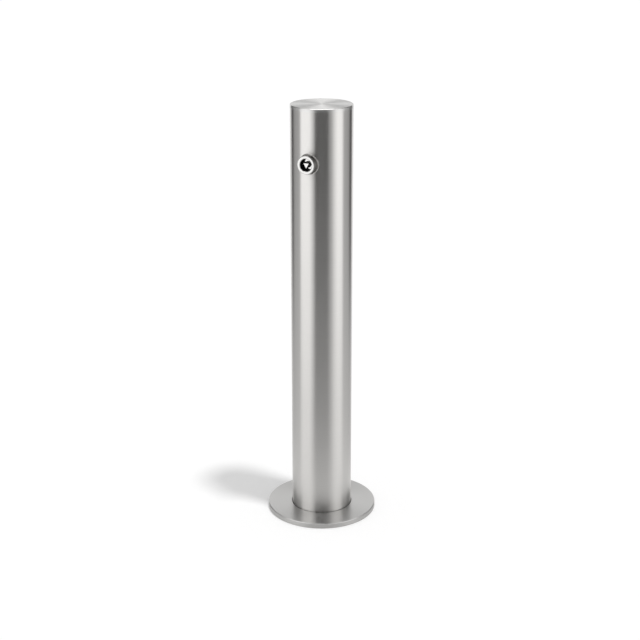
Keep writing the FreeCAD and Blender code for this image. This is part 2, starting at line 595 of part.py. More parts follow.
def build_jaw(label, side):
    """A sliding jaw, drawn open. side is an empty string for +X and a minus sign for -X."""
    body = new_body(label.title().replace("_", ""))
    near = side + JAW_NEAR
    far = side + JAW_FAR
    half = "Sizes.jaw_width / 2"
    block = outline(new_sketch(body, "JawOutline", "XY_Plane"), [
        (near, "-" + half), (far, "-" + half), (far, half), (near, half),
    ])
    pad(body, "JawBlock", block, "Sizes.jaw_thickness")
    doc.recompute()
    notch = circle(new_sketch(body, "NotchPlace", "XY_Plane"),
                   (f"{side}Sizes.jaw_travel", ""), f"{NECK_RADIUS} + Sizes.jaw_notch_gap")
    pocket(body, "NeckNotch", notch)
    leg_reach = f"({YOKE_LEG_SPREAD} + {CAM_SLOPE} * Sizes.jaw_thickness / 2)"
    start = f"{side}({JAW_PIN_OPEN} - {leg_reach} - Sizes.yoke_gap)"
    fork = outline(new_sketch(body, "YokeClearance", "XY_Plane"), [
        (start, "-" + YOKE_SLIT), (far, "-" + YOKE_SLIT), (far, YOKE_SLIT), (start, YOKE_SLIT),
    ])
    pocket(body, "YokeSlit", fork)
    pin_hole = circle(new_sketch(body, "PinPlace", "XZ_Plane"),
                      (side + JAW_PIN_OPEN, "Sizes.jaw_thickness / 2"), f"{JAW_PIN_RADIUS} + Sizes.press_gap")
    body.Tip = pocket(body, "PinHole", pin_hole)
    return keep(body, label, JAW_LEVEL)


def cross_pin(label, radius, length, x, z):
    """A plain pin along Y, centred on y = 0, at x and z given as expressions."""
    pin = doc.addObject("Part::Cylinder", label.title().replace("_", ""))
    pin.setExpression("Radius", radius)
    pin.setExpression("Height", length)
    pin.Placement = FreeCAD.Placement(FreeCAD.Vector(0, 0, 0), FreeCAD.Rotation(FreeCAD.Vector(1, 0, 0), 90))
    pin.setExpression("Placement.Base.y", f"({length}) / 2")
    if x:
        pin.setExpression("Placement.Base.x", x)
    return keep(pin, label, z)


def socket_screw(shank_length):
    """A socket head screw, its head's underside at z = 0 and its shank pointing down."""
    shank = Part.makeCylinder(number(SCREW_RADIUS), shank_length, FreeCAD.Vector(0, 0, -shank_length))
    head_height = number("Sizes.screw_head_height")
    head = Part.makeCylinder(number("Sizes.screw_head_diameter") / 2, head_height)
    corner = number("Sizes.screw_socket") / math.sqrt(3)
    spots = [
        FreeCAD.Vector(corner * math.cos(math.radians(60 * i)), corner * math.sin(math.radians(60 * i)), 0)
        for i in range(7)
    ]
    socket = Part.Face(Part.makePolygon(spots)).extrude(FreeCAD.Vector(0, 0, head_height / 2))
    socket.translate(FreeCAD.Vector(0, 0, head_height / 2))
    return shank.fuse(head).cut(socket).removeSplitter()


def screw_group(label, screw, places):
    """Separate copies of one screw, each moved by one placement, kept as one sub-part."""
    copies = []
    for place in places:
        copy = screw.copy()
        copy.Placement = place.multiply(copy.Placement)
        copies.append(copy)
    group = doc.addObject("Part::Feature", label.title().replace("_", ""))
    group.Shape = Part.makeCompound(copies)
    return keep(group, label)


def build_cover_screws():
    level = number(COVER_TOP)
    depth = number(f"Sizes.cover_thickness + {RAIL_HEIGHT} + Sizes.bulkhead_thickness")
    x, y = number(COVER_SCREW_PLACE), number(RAIL_MIDDLE)
    places = [
        FreeCAD.Placement(FreeCAD.Vector(end * x, side * y, level), FreeCAD.Rotation())
        for end in (1, -1) for side in (1, -1)
    ]
    return screw_group("jaw_cover_screws", socket_screw(depth), places)


# The pull rod train, drawn raised: yoke, rod, rack plate
def build_cam_yoke():
    body = new_body("CamYoke")
    low = (JAW_PIN_OPEN, JAW_PIN_LEVEL)
    high = (JAW_PIN_CLOSED, f"{JAW_PIN_LEVEL} + {ROD_TRAVEL}")
    crown_z = f"({BRIDGE_LEVEL} + Sizes.bridge_height / 2)"
    crown_x = f"({JAW_PIN_OPEN} - {CAM_SLOPE} * ({crown_z} - {JAW_PIN_LEVEL}))"
    crown = (crown_x, crown_z)
    shoulder = f"({crown_x} + {YOKE_LEG_RADIUS})"
    tongue = "Sizes.tongue_width / 2"
    tongue_top = f"{BRIDGE_TOP} + Sizes.tongue_length"
    bridge = outline(new_sketch(body, "BridgeOutline", "XZ_Plane"), [
        ("-" + shoulder, BRIDGE_LEVEL), (shoulder, BRIDGE_LEVEL), (shoulder, BRIDGE_TOP),
        (tongue, BRIDGE_TOP), (tongue, tongue_top), ("-" + tongue, tongue_top),
        ("-" + tongue, BRIDGE_TOP), ("-" + shoulder, BRIDGE_TOP),
    ])
    pad(body, "Bridge", bridge, "Sizes.yoke_thickness", midplane=True)
    leg = slot(new_sketch(body, "LegOutline", "XZ_Plane"), low, crown, YOKE_LEG_RADIUS)
    leg_pad = pad(body, "Leg", leg, "Sizes.yoke_thickness", midplane=True)
    doc.recompute()
    cam = slot(new_sketch(body, "CamSlotOutline", "XZ_Plane"), low, high, YOKE_SLOT_RADIUS)
    cam_cut = pocket(body, "CamSlot", cam)
    doc.recompute()
    mirror(body, "SecondLeg", [leg_pad, cam_cut], "YZ_Plane")
    pin = circle(new_sketch(body, "RodPinPlace", "XZ_Plane"),
                 ("", f"{BRIDGE_TOP} + Sizes.tongue_length / 2"), f"{ROD_PIN_RADIUS} + Sizes.press_gap")
    body.Tip = pocket(body, "RodPinHole", pin)
    return keep(body, "cam_yoke")


def build_pull_rod():
    body = new_body("PullRod")
    turn(body, "RodTurned", "XZ_Plane", [
        ("", ROD_BOTTOM), (ROD_RADIUS, ROD_BOTTOM), (ROD_RADIUS, ROD_TOP), ("", ROD_TOP),
    ])
    doc.recompute()
    depth = "(Sizes.tongue_length + Sizes.rod_end_gap)"
    cut_ends = new_sketch(body, "EndSlots", "YZ_Plane")
    for plate, end, inward in (
        ("Sizes.yoke_thickness", ROD_BOTTOM, f"{ROD_BOTTOM} + {depth}"),
        ("Sizes.rack_plate_thickness", ROD_TOP, f"{ROD_TOP} - {depth}"),
    ):
        half = f"({plate} / 2 + Sizes.rod_slot_gap)"
        outline(cut_ends, [("-" + half, end), (half, end), (half, inward), ("-" + half, inward)])
    pocket(body, "ForkedEnds", cut_ends)
    doc.recompute()
    pins = new_sketch(body, "PinPlaces", "XZ_Plane")
    for level in (LOWER_ROD_PIN_LEVEL, UPPER_ROD_PIN_LEVEL):
        circle(pins, ("", level), f"{ROD_PIN_RADIUS} + Sizes.press_gap")
    body.Tip = pocket(body, "PinHoles", pins)
    return keep(body, "pull_rod")


def build_rod_guide():
    body = new_body("RodGuide")
    bore = f"{ROD_RADIUS} + Sizes.guide_gap + Sizes.rod_bush_wall"
    turn(body, "GuideDisc", "XZ_Plane", tube_section(bore, WELDED_RADIUS, "", "Sizes.rod_guide_thickness"))
    doc.recompute()
    window = circle(new_sketch(body, "WindowPlace", "XY_Plane"),
                    ("Sizes.rod_guide_window_circle / 2", ""), "Sizes.rod_guide_window / 2")
    cut = pocket(body, "Window", window)
    polar(body, "Windows", [cut], "Z_Axis", "4")
    return keep(body, "rod_guide_disc", ROD_GUIDE_LEVEL)


def build_rod_bush():
    body = new_body("RodGuideBush")
    inner = f"{ROD_RADIUS} + Sizes.guide_gap"
    outer = f"{inner} + Sizes.rod_bush_wall - Sizes.press_gap"
    lip = f"{inner} + 2 * Sizes.rod_bush_wall"
    foot = "Sizes.rod_guide_thickness - Sizes.rod_bush_length / 2"
    top = "Sizes.rod_guide_thickness"
    turn(body, "BushTurned", "XZ_Plane", [
        (inner, foot), (outer, foot), (outer, top), (lip, top),
        (lip, f"{top} + Sizes.liner_lip"), (inner, f"{top} + Sizes.liner_lip"),
    ])
    return keep(body, "rod_guide_bush", ROD_GUIDE_LEVEL)


def build_rack_plate():
    body = new_body("RackPlate")
    half = "Sizes.rack_plate_width / 2"
    tongue = "Sizes.tongue_width / 2"
    tongue_end = f"{PLATE_BOTTOM} - Sizes.tongue_length"
    plate = outline(new_sketch(body, "PlateOutline", "XZ_Plane"), [
        ("-" + half, PLATE_BOTTOM), ("-" + tongue, PLATE_BOTTOM), ("-" + tongue, tongue_end),
        (tongue, tongue_end), (tongue, PLATE_BOTTOM), (half, PLATE_BOTTOM), (half, PLATE_TOP),
        ("-" + half, PLATE_TOP),
    ])
    pad(body, "Plate", plate, "Sizes.rack_plate_thickness", midplane=True)
    doc.recompute()
    window = outline(new_sketch(body, "WindowOutline", "XZ_Plane"), [
        ("-" + WINDOW_RADIUS, "-" + WINDOW_RADIUS), (RACK_ROOT, "-" + WINDOW_RADIUS),
        (RACK_ROOT, WINDOW_TOP), ("-" + WINDOW_RADIUS, WINDOW_TOP),
    ])
    pocket(body, "Window", window)
    doc.recompute()
    add_rack_teeth(body)
    pin = circle(new_sketch(body, "RodPinPlace", "XZ_Plane"),
                 ("", f"{PLATE_BOTTOM} - Sizes.tongue_length / 2"), f"{ROD_PIN_RADIUS} + Sizes.press_gap")
    body.Tip = pocket(body, "RodPinHole", pin)
    return keep(body, "rack_plate", LOCK_LEVEL)


def add_rack_teeth(body):
    """Straight-flanked teeth on the window's +X side, in mesh with a pinion tooth that points to +X."""
    slope = f"tan({PRESSURE_ANGLE} deg)"
    half_pitch_line = f"({TOOTH_PITCH} / 4 - Sizes.gear_backlash / 4)"
    tip_height = "(0.9 * Sizes.gear_module)"
    root_depth = "(1.25 * Sizes.gear_module)"
    tip = f"({half_pitch_line} - {tip_height} * {slope})"
    root = f"({half_pitch_line} + {root_depth} * {slope})"
    first = f"(-2.5 * {TOOTH_PITCH})"
    buried = f"{RACK_ROOT} + Sizes.gear_module / 2"
    tooth = outline(new_sketch(body, "ToothOutline", "XZ_Plane"), [
        (f"{PITCH_RADIUS} - {tip_height}", f"{first} - {tip}"), (RACK_ROOT, f"{first} - {root}"),
        (buried, f"{first} - {root}"), (buried, f"{first} + {root}"),
        (RACK_ROOT, f"{first} + {root}"), (f"{PITCH_RADIUS} - {tip_height}", f"{first} + {tip}"),
    ])
    tooth_pad = pad(body, "Tooth", tooth, "Sizes.rack_plate_thickness", midplane=True)
    doc.recompute()
    steps = f"floor(({WINDOW_TOP} - {root} - {first}) / {TOOTH_PITCH})"
    teeth = body.newObject("PartDesign::LinearPattern", "Teeth")
    teeth.Originals = [tooth_pad]
    teeth.Direction = (origin_feature(body, "Z_Axis"), [""])
    teeth.setExpression("Length", f"{TOOTH_PITCH} * {steps}")
    teeth.setExpression("Occurrences", f"{steps} + 1")
    body.Tip = teeth


def involute(angle):
    return math.tan(angle) - angle


def pinion_outline():
    """The pinion's toothed outline in the XZ plane, with one tooth centred on +X."""
    module, teeth = number("Sizes.gear_module"), int(number("Sizes.pinion_teeth"))
    pitch = module * teeth / 2
    base = pitch * math.cos(math.radians(PRESSURE_ANGLE))
    outer, root = pitch + module, pitch - 1.25 * module
    backlash = number("Sizes.gear_backlash") / 2
    half_tooth = math.pi / (2 * teeth) - backlash / (2 * pitch) + involute(math.radians(PRESSURE_ANGLE))

    def spot(radius, angle):
        return FreeCAD.Vector(radius * math.cos(angle), 0, radius * math.sin(angle))

    steps = 5
    radii = [base + (outer - base) * (i / steps) for i in range(steps + 1)]
    flank = [(r, half_tooth - involute(math.acos(base / r))) for r in radii]
    edges = []
    step = 2 * math.pi / teeth
    for i in range(teeth):
        middle = i * step
        rising = [spot(r, middle - a) for r, a in flank]
        falling = [spot(r, middle + a) for r, a in reversed(flank)]
        for points in (rising, falling):
            curve = Part.BSplineCurve()
            curve.interpolate(points)
            edges.append(curve.toShape())
        root_a, root_b = spot(root, middle - half_tooth), spot(root, middle + half_tooth)
        next_root = spot(root, middle + step - half_tooth)
        edges.append(Part.makeLine(root_a, rising[0]))
        edges.append(Part.Arc(rising[-1], spot(outer, middle), falling[0]).toShape())
        edges.append(Part.makeLine(falling[-1], root_b))
        edges.append(Part.Arc(root_b, spot(root, middle + step / 2), next_root).toShape())
    return Part.Wire(Part.__sortEdges__(edges))


def build_pinion():
    width, hub = number("Sizes.pinion_width"), 2 * number(HUB_END)
    y_axis = FreeCAD.Vector(0, 1, 0)
    disc = Part.Face(pinion_outline()).extrude(y_axis * width)
    disc.translate(y_axis * (-width / 2))
    sleeve = Part.makeCylinder(number("Sizes.hub_diameter") / 2, hub, y_axis * (-hub / 2), y_axis)
    bore_radius = number(SEAT_RADIUS) + number("Sizes.press_gap")
    bore = Part.makeCylinder(bore_radius, 2 * hub, y_axis * -hub, y_axis)
    flat_top = number(f"{SEAT_RADIUS} - Sizes.seat_flat + Sizes.press_gap")
    flat_corner = FreeCAD.Vector(-2 * bore_radius, -hub, flat_top)
    flat = Part.makeBox(4 * bore_radius, 2 * hub, bore_radius, flat_corner)
    pinion = doc.addObject("Part::Feature", "Pinion")
    pinion.Shape = disc.fuse(sleeve).cut(bore.cut(flat)).removeSplitter()
    return keep(pinion, "pinion", LOCK_LEVEL)


# The key boss and spindle, on an axis along Y at the lock's level
def build_key_boss():
    body = new_body("KeyBoss")
    outer = "Sizes.boss_diameter / 2"
    recess = "Sizes.key_recess_diameter / 2"
    lip = "Sizes.boss_rim_radius"
    turn(body, "BossTurned", "XY_Plane", [
        (FRONT_BUSH_RADIUS + " + Sizes.press_gap", "-" + RECESS_END),
        (recess, "-" + RECESS_END), (recess, f"-({BOSS_FRONT} - {lip} / 2)"),
        (f"{recess} + {lip} / 2", "-" + BOSS_FRONT), (outer, "-" + BOSS_FRONT),
        (outer, "-" + BOSS_BACK), (FRONT_BUSH_RADIUS + " + Sizes.press_gap", "-" + BOSS_BACK),
    ])
    doc.recompute()
    rim = ring_edges(body.Shape, number(outer), -number(BOSS_FRONT))
    rounded(body, "RimRound", "Fillet", rim, lip)
    return keep(body, "key_boss", LOCK_LEVEL)


def build_key_spindle():
    body = new_body("KeySpindle")
    collar = "Sizes.key_recess_diameter / 2 - Sizes.collar_gap"
    groove = f"({TAIL_RADIUS} - Sizes.clip_groove_depth)"
    seat_start = HUB_END
    clip_back = f"{CLIP_FRONT} + Sizes.clip_thickness"
    turn(body, "SpindleTurned", "XY_Plane", [
        ("", "-" + COLLAR_FRONT), (collar, "-" + COLLAR_FRONT), (collar, "-" + SEAL_FRONT),
        (JOURNAL_RADIUS, "-" + SEAL_FRONT), (JOURNAL_RADIUS, "-" + seat_start),
        (SEAT_RADIUS, "-" + seat_start), (SEAT_RADIUS, seat_start), (TAIL_RADIUS, seat_start),
        (TAIL_RADIUS, CLIP_FRONT), (groove, CLIP_FRONT), (groove, clip_back),
        (TAIL_RADIUS, clip_back), (TAIL_RADIUS, TAIL_END), ("", TAIL_END),
    ])
    doc.recompute()
    low, high = "Sizes.triangle_height * 2 / 3", "Sizes.triangle_height / 3"
    side = "Sizes.triangle_height / sqrt(3)"
    triangle = outline(new_sketch(body, "TriangleOutline", "XZ_Plane", COLLAR_FRONT), [
        ("", "-" + low), (side, high), ("-" + side, high),
    ])
    pad(body, "Triangle", triangle, f"{TRIANGLE_FRONT} - {COLLAR_FRONT}")
    doc.recompute()
    front = -number(TRIANGLE_FRONT)
    ends = [
        f"Edge{i}" for i, edge in enumerate(body.Shape.Edges, start=1)
        if abs(edge.BoundBox.YMin - front) < 1e-6 and abs(edge.BoundBox.YMax - front) < 1e-6
    ]
    rounded(body, "TriangleBevel", "Chamfer", ends, "Sizes.triangle_bevel")
    doc.recompute()
    flat_top = f"{SEAT_RADIUS} - Sizes.seat_flat"
    flat = outline(new_sketch(body, "FlatOutline", "XY_Plane", flat_top), [
        ("-" + SEAT_RADIUS, "-" + seat_start), (SEAT_RADIUS, "-" + seat_start),
        (SEAT_RADIUS, seat_start), ("-" + SEAT_RADIUS, seat_start),
    ])
    body.Tip = pocket(body, "DrivingFlat", flat, SEAT_RADIUS, back=True)
    return keep(body, "key_spindle", LOCK_LEVEL)


def build_spindle_seal():
    body = new_body("SpindleSeal")
    inner = f"{FRONT_BUSH_RADIUS} + Sizes.press_gap"
    outer = "Sizes.key_recess_diameter / 2 - Sizes.press_gap"
    turn(body, "SealRing", "XY_Plane", tube_section(inner, outer, "-" + RECESS_END, "-" + SEAL_FRONT))
    return keep(body, "spindle_seal", LOCK_LEVEL)


def build_front_bush():
    body = new_body("FrontBush")
    inner = f"{JOURNAL_RADIUS} + Sizes.bearing_gap"
    lip = f"{FRONT_BUSH_RADIUS} + Sizes.bush_flange_width"
    back = f"-({BOSS_BACK} - Sizes.bush_flange)"
    turn(body, "BushTurned", "XY_Plane", [
        (inner, "-" + SEAL_FRONT), (FRONT_BUSH_RADIUS, "-" + SEAL_FRONT),
        (FRONT_BUSH_RADIUS, "-" + BOSS_BACK), (lip, "-" + BOSS_BACK), (lip, back), (inner, back),
    ])
    return keep(body, "front_spindle_bush", LOCK_LEVEL)


def build_rear_bush():
    body = new_body("RearBush")
    inner = f"{TAIL_RADIUS} + Sizes.bearing_gap"
    lip = f"{REAR_BUSH_RADIUS} + Sizes.bush_flange_width"
    turn(body, "BushTurned", "XY_Plane", [
        (inner, CASE_FACE), (REAR_BUSH_RADIUS, CASE_FACE), (REAR_BUSH_RADIUS, CASE_BACK),
        (lip, CASE_BACK), (lip, REAR_BUSH_END), (inner, REAR_BUSH_END),
    ])
    return keep(body, "rear_spindle_bush", LOCK_LEVEL)


def build_spring_washer():
    body = new_body("SpringWasher")
    inner = f"{TAIL_RADIUS} + Sizes.spring_washer_gap"
    outer = "Sizes.clip_diameter / 2"
    sheet = "Sizes.spring_washer_sheet"
    turn(body, "WasherDish", "XY_Plane", [
        (inner, f"{CLIP_FRONT} - {sheet}"), (outer, REAR_BUSH_END),
        (outer, f"{REAR_BUSH_END} + {sheet}"), (inner, CLIP_FRONT),
    ])
    return keep(body, "friction_spring_washer", LOCK_LEVEL)


def build_retaining_clip():
    body = new_body("RetainingClip")
    inner = f"{TAIL_RADIUS} - Sizes.clip_groove_depth + Sizes.press_gap"
    back = f"{CLIP_FRONT} + Sizes.clip_thickness"
    section = tube_section(inner, "Sizes.clip_diameter / 2", CLIP_FRONT, back)
    turn(body, "ClipRing", "XY_Plane", section)
    doc.recompute()
    half = "Sizes.tail_diameter / 4"
    mouth = outline(new_sketch(body, "ClipMouth", "XZ_Plane"), [
        ("-" + half, ""), (half, ""), (half, "-Sizes.clip_diameter"), ("-" + half, "-Sizes.clip_diameter"),
    ])
    body.Tip = pocket(body, "ClipGap", mouth)
    return keep(body, "retaining_clip", LOCK_LEVEL)


# The lock case behind the boss
def build_case_plate(label, side, hole):
    """One plate across the tube. side is a minus sign for the front plate, hole its spindle hole's radius."""
    body = new_body(label.title().replace("_", ""))
    half = f"sqrt({WELDED_RADIUS}^2 - {CASE_BACK}^2)"
    top, bottom = "Sizes.case_rise", "-Sizes.case_drop"
    start = CASE_BACK if side else "-" + CASE_FACE
    plate = outline(new_sketch(body, "PlateOutline", "XZ_Plane", start), [
        ("-" + half, bottom), (half, bottom), (half, top), ("-" + half, top),
    ])
    pad(body, "Plate", plate, "Sizes.case_plate_thickness", back=True)
    doc.recompute()
    holes = new_sketch(body, "Holes", "XZ_Plane")
    circle(holes, ("", ""), hole)
    for x, z in case_screw_places():
        circle(holes, (x, z), SCREW_HOLE_RADIUS)
    body.Tip = pocket(body, "PlateHoles", holes)
    return keep(body, label, LOCK_LEVEL)


def case_screw_places():
    top = "(Sizes.case_rise - Sizes.case_screw_inset)"
    bottom = "(Sizes.case_screw_inset - Sizes.case_drop)"
    return [(sign + CASE_SCREW_PLACE, level) for sign in ("", "-") for level in (top, bottom)]


def build_guide_block(label, side):
    """A grooved nylon bar beside the rack plate: side is a minus sign for -X."""
    body = new_body(label.title().replace("_", ""))
    edge = "(Sizes.rack_plate_width / 2 + Sizes.slide_gap)"
    near = f"({edge} - Sizes.guide_groove)"
    far = f"({edge} + Sizes.guide_block_width)"
    deep = f"({CASE_FACE} - Sizes.press_gap)"
    groove = "(Sizes.rack_plate_thickness / 2 + Sizes.slide_gap)"
    section = outline(new_sketch(body, "BlockSection", "XY_Plane", "-Sizes.case_drop"), [
        (side + near, "-" + deep), (side + far, "-" + deep), (side + far, deep),
        (side + near, deep), (side + near, groove), (side + edge, groove),
        (side + edge, "-" + groove), (side + near, "-" + groove),
    ])
    pad(body, "Block", section, "Sizes.case_drop + Sizes.case_rise")
    doc.recompute()
    holes = new_sketch(body, "ScrewPlaces", "XZ_Plane")
    for x, z in case_screw_places():
        if x.startswith("-") == bool(side):
            circle(holes, (x, z), SCREW_HOLE_RADIUS)
    body.Tip = pocket(body, "ScrewHoles", holes)
    return keep(body, label, LOCK_LEVEL)


def build_case_screws():
    shank = number("Sizes.case_inner_gap + 2 * Sizes.case_plate_thickness")
    front = -number(CASE_BACK)
    level = number(LOCK_LEVEL)
    facing = FreeCAD.Rotation(FreeCAD.Vector(0, 0, 1), FreeCAD.Vector(0, -1, 0))
    places = [
        FreeCAD.Placement(FreeCAD.Vector(number(x), front, level + number(z)), facing)
        for x, z in case_screw_places()
    ]
    return screw_group("lock_case_screws", socket_screw(shank), places)


def build_all():
    build_base_flange()
    build_foot_gasket()
    build_locating_dowel()
    build_spigot_tube()
    build_king_pin()
    build_post_tube()
    build_top_cap()
    build_guide_ring()
    build_guide_liner()
    build_bulkhead()
    build_rail("jaw_rail_rear", "")
    build_rail("jaw_rail_front", "-")
    build_jaw_cover()
    build_cover_screws()
    for name, side in (("right", ""), ("left", "-")):
        build_jaw(f"{name}_jaw", side)
        cross_pin(f"{name}_jaw_pin", JAW_PIN_RADIUS, "Sizes.jaw_width", side + JAW_PIN_OPEN, JAW_PIN_LEVEL)
    build_cam_yoke()
    build_pull_rod()
    cross_pin("lower_rod_pin", ROD_PIN_RADIUS, "Sizes.rod_diameter", "", LOWER_ROD_PIN_LEVEL)
    cross_pin("upper_rod_pin", ROD_PIN_RADIUS, "Sizes.rod_diameter", "", UPPER_ROD_PIN_LEVEL)
    build_rod_guide()
    build_rod_bush()
    build_rack_plate()
    build_pinion()
    build_key_boss()
    build_key_spindle()
    build_spindle_seal()
    build_front_bush()
    build_rear_bush()
    build_spring_washer()
    build_retaining_clip()
    build_case_plate("lock_case_front", "-", f"{JOURNAL_RADIUS} + Sizes.guide_gap")
    build_case_plate("lock_case_rear", "", f"{REAR_BUSH_RADIUS} + Sizes.press_gap")
    build_guide_block("rack_guide_right", "")
    build_guide_block("rack_guide_left", "-")
    build_case_screws()


def check_document():
    doc.recompute()
    for thing in doc.Objects:
        if "Invalid" in thing.State or "Error" in thing.State:
            raise RuntimeError(f"{thing.Name} did not compute: {thing.State}")
    for piece in subparts:
        if piece.Shape.isNull() or not piece.Shape.isValid():
            raise RuntimeError(f"{piece.Label} has no valid shape")


def export_parts():
    os.makedirs("parts", exist_ok=True)
    for piece in subparts:
        piece.Shape.exportStep(f"parts/{piece.Label}.step")


build_all()
check_document()
export_parts()
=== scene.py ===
# Removable bollard: brushed post, spun cap, turned flange and key boss, with its lock works inside.
# Metres, the same frame as the part: Z up, the ground at 0, the key boss towards -Y.
import math

import bmesh
import bpy
from mathutils import Matrix, Vector


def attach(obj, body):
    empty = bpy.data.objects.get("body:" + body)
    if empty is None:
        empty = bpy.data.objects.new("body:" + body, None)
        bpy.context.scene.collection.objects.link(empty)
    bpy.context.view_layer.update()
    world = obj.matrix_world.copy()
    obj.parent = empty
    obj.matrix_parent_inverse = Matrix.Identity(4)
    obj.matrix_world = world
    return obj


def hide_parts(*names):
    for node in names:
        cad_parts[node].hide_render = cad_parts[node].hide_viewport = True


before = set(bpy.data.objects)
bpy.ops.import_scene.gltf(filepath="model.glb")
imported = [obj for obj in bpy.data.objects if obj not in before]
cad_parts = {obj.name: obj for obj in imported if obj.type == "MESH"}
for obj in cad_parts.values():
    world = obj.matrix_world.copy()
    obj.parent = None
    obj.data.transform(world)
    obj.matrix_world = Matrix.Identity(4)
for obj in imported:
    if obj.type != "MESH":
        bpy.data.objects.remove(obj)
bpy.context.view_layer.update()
scene = bpy.context.scene
scene.view_settings.view_transform = "Standard"

MM = 0.001
WHITE = (1, 1, 1, 1)

# Camera: where the photograph was taken from, in metres
CAMERA_AZIMUTH = math.radians(24)
CAMERA_DISTANCE = 2.372
CAMERA_HEIGHT = 1.216
CAMERA_PITCH = math.radians(71.49)
CAMERA_LENS = 75.08
CAMERA_SHIFT = (-0.0026, -0.03)
CAMERA_REACH = 200

# Light on white paint, as a share of white: what the sky fill and the soft key lamp each give
SKY_FILL = 0.56
KEY_SHARE = 0.43
KEY_ELEVATION = math.radians(75)
KEY_AZIMUTH = math.radians(-7.5)
KEY_SOFTNESS = math.radians(5)

# Floor: white paint on a square of this half width, with the glow that makes it as white as the sky
FLOOR_HALF_WIDTH = 40
FLOOR_WHITE = 0.8
FLOOR_GLOW = 0.226

# Cards that only gloss sees: a ring wall round the post, a ring on the floor and a ring overhead
CARD_COLUMNS = 360
WALL_RADIUS = 1.4
WALL_TOP = 2.6
FLOOR_CARD_LEVEL = 0.001

# Tones of the wall's soft boxes and dark flags, as (degrees from the camera, brightness)
WALL_TONES = [
    (-180, 1.0), (-160, 1.0), (-149, 1.15), (-142, 0.6), (-136, 0.08), (-127, 0.08), (-117, 0.42),
    (-86, 0.56), (-78, 1.6), (-44, 1.58), (-31, 0.84), (-21, 0.03), (22, 0.03), (27, 0.34), (36, 0.5),
    (46, 1.12), (60, 1.63), (78, 1.53), (87, 0.58), (116, 0.42), (125, 0.08), (136, 0.08), (142, 0.6),
    (149, 1.15), (160, 1.0), (180, 1.0),
]

# Levels of the wall, as (height, name), and how the low, high and top ones depart from its tones
WALL_LEVELS = [
    (0, "low"), (0.75, "low"), (1.05, "middle"), (1.14, "middle"), (1.24, "high"), (2.0, "high"),
    (2.1, "top"), (WALL_TOP, "top"),
]
LOW_BACK_ANGLE = 160
LOW_BACK_SHARE = 0.82
HIGH_BACK_ANGLE = 110
HIGH_BACK_TONES = [
    (HIGH_BACK_ANGLE, 0.45), (129, 0.45), (132, 0.1), (148, 0.1), (156, 0.6), (168, 0.6), (171, 0.88),
    (181, 0.88),
]
HIGH_FRONT_LIMIT = 0.9
TOP_FRONT_ANGLE = 65
TOP_FRONT_TONE = 1.5

# Floor ring: its tones by angle, and its rings as (radius, share of those tones, the rest white)
FLOOR_TONES = [
    (-180, 1.0), (-150, 1.0), (-135, 0.72), (-90, 0.8), (-70, 1.0), (-45, 0.95), (-24, 0.5), (24, 0.5),
    (45, 0.9), (70, 1.0), (90, 0.8), (135, 0.72), (150, 1.0), (180, 1.0),
]
FLOOR_RINGS = [(0.16, 0), (0.45, 1), (WALL_RADIUS, 1)]

# Overhead ring: a soft box with an edge of tones by angle, and its rings as (radius, share of the box)
OVERHEAD_TONE = 2.6
OVERHEAD_EDGE_TONES = [(-180, 1.0), (-60, 1.0), (-35, 0.25), (35, 0.25), (60, 1.0), (180, 1.0)]
OVERHEAD_RINGS = [(0.01, 1), (0.7, 1), (0.75, 0), (WALL_RADIUS, 0)]

# Driving sizes that the dressed pieces share with the solids, in millimetres
POST_RADIUS = 57.15
POST_WALL = 3
POST_TOP = 793
CAP_THICKNESS = 6
CAP_REGISTER_DEPTH = 4
WELD_GAP = 0.15
PRESS_GAP = 0.02
FLANGE_RADIUS = 104
FLANGE_TOP = 10
FLANGE_CHAMFER = 1.2
FOOT_RECESS_DEPTH = 3
FOOT_GAP = 1.2
GASKET_THICKNESS = 2
DRAIN_RADIUS = 10
ANCHOR_COUNT = 4
ANCHOR_CIRCLE_RADIUS = 42
ANCHOR_RADIUS = 6
DOWEL_PLACE = 46.15
DOWEL_RADIUS = 4
DOWEL_DEPTH = 6
SPIGOT_RADIUS = 30.15
SPIGOT_WALL = 3.6
SPIGOT_TOP = 262
GUIDE_RING_LEVEL = 40
BULKHEAD_LEVEL = 308
ROD_GUIDE_LEVEL = 519
BOSS_LEVEL = 695
BOSS_RADIUS = 17
BOSS_PROTRUSION = 12.5
KEY_RECESS_RADIUS = 11.5
KEY_RECESS_DEPTH = 12
TRIANGLE_INSET = 2

# Places worked out from those sizes
BORE_RADIUS = POST_RADIUS - POST_WALL
TUBE_TOP = POST_TOP - CAP_THICKNESS
RECESS_RADIUS = POST_RADIUS + FOOT_GAP
RECESS_FLOOR = FLANGE_TOP - FOOT_RECESS_DEPTH
POST_BOTTOM = RECESS_FLOOR + GASKET_THICKNESS
SPIGOT_BORE_RADIUS = SPIGOT_RADIUS - SPIGOT_WALL
BOSS_FRONT = POST_RADIUS + BOSS_PROTRUSION
TRIANGLE_FRONT = BOSS_FRONT - TRIANGLE_INSET
COLLAR_FRONT = BOSS_FRONT - KEY_RECESS_DEPTH
BOSS_AXIS = (0, 0, BOSS_LEVEL * MM)

# Detail that only the scene draws, in millimetres and degrees
EDGE_BREAK = 0.3
CAP_BEVEL_HEIGHT = 0.8
CAP_BEVEL_ANGLE = 50
CAP_BEVEL_SOFTNESS = 0.25
WELD_BULGE = 0.12
WELD_RIPPLE_LENGTH = 2.2
WELD_RIPPLE_DEPTH = 0.1
WELD_WAVES = 3
WELD_WAVE_DEPTH = 0.03
BOSS_WELD_LEG = 2.0
BOSS_WELD_HOLLOW = 0.1
BOSS_WELD_RIPPLE_LENGTH = 1.8
BOSS_WELD_RIPPLE_DEPTH = 0.08
BOSS_WELD_WAVES = 5
BOSS_WELD_WAVE_DEPTH = 0.05
BOSS_WELD_LOW_SWELL = 0.4
BOSS_WELD_ROOT = 0.3

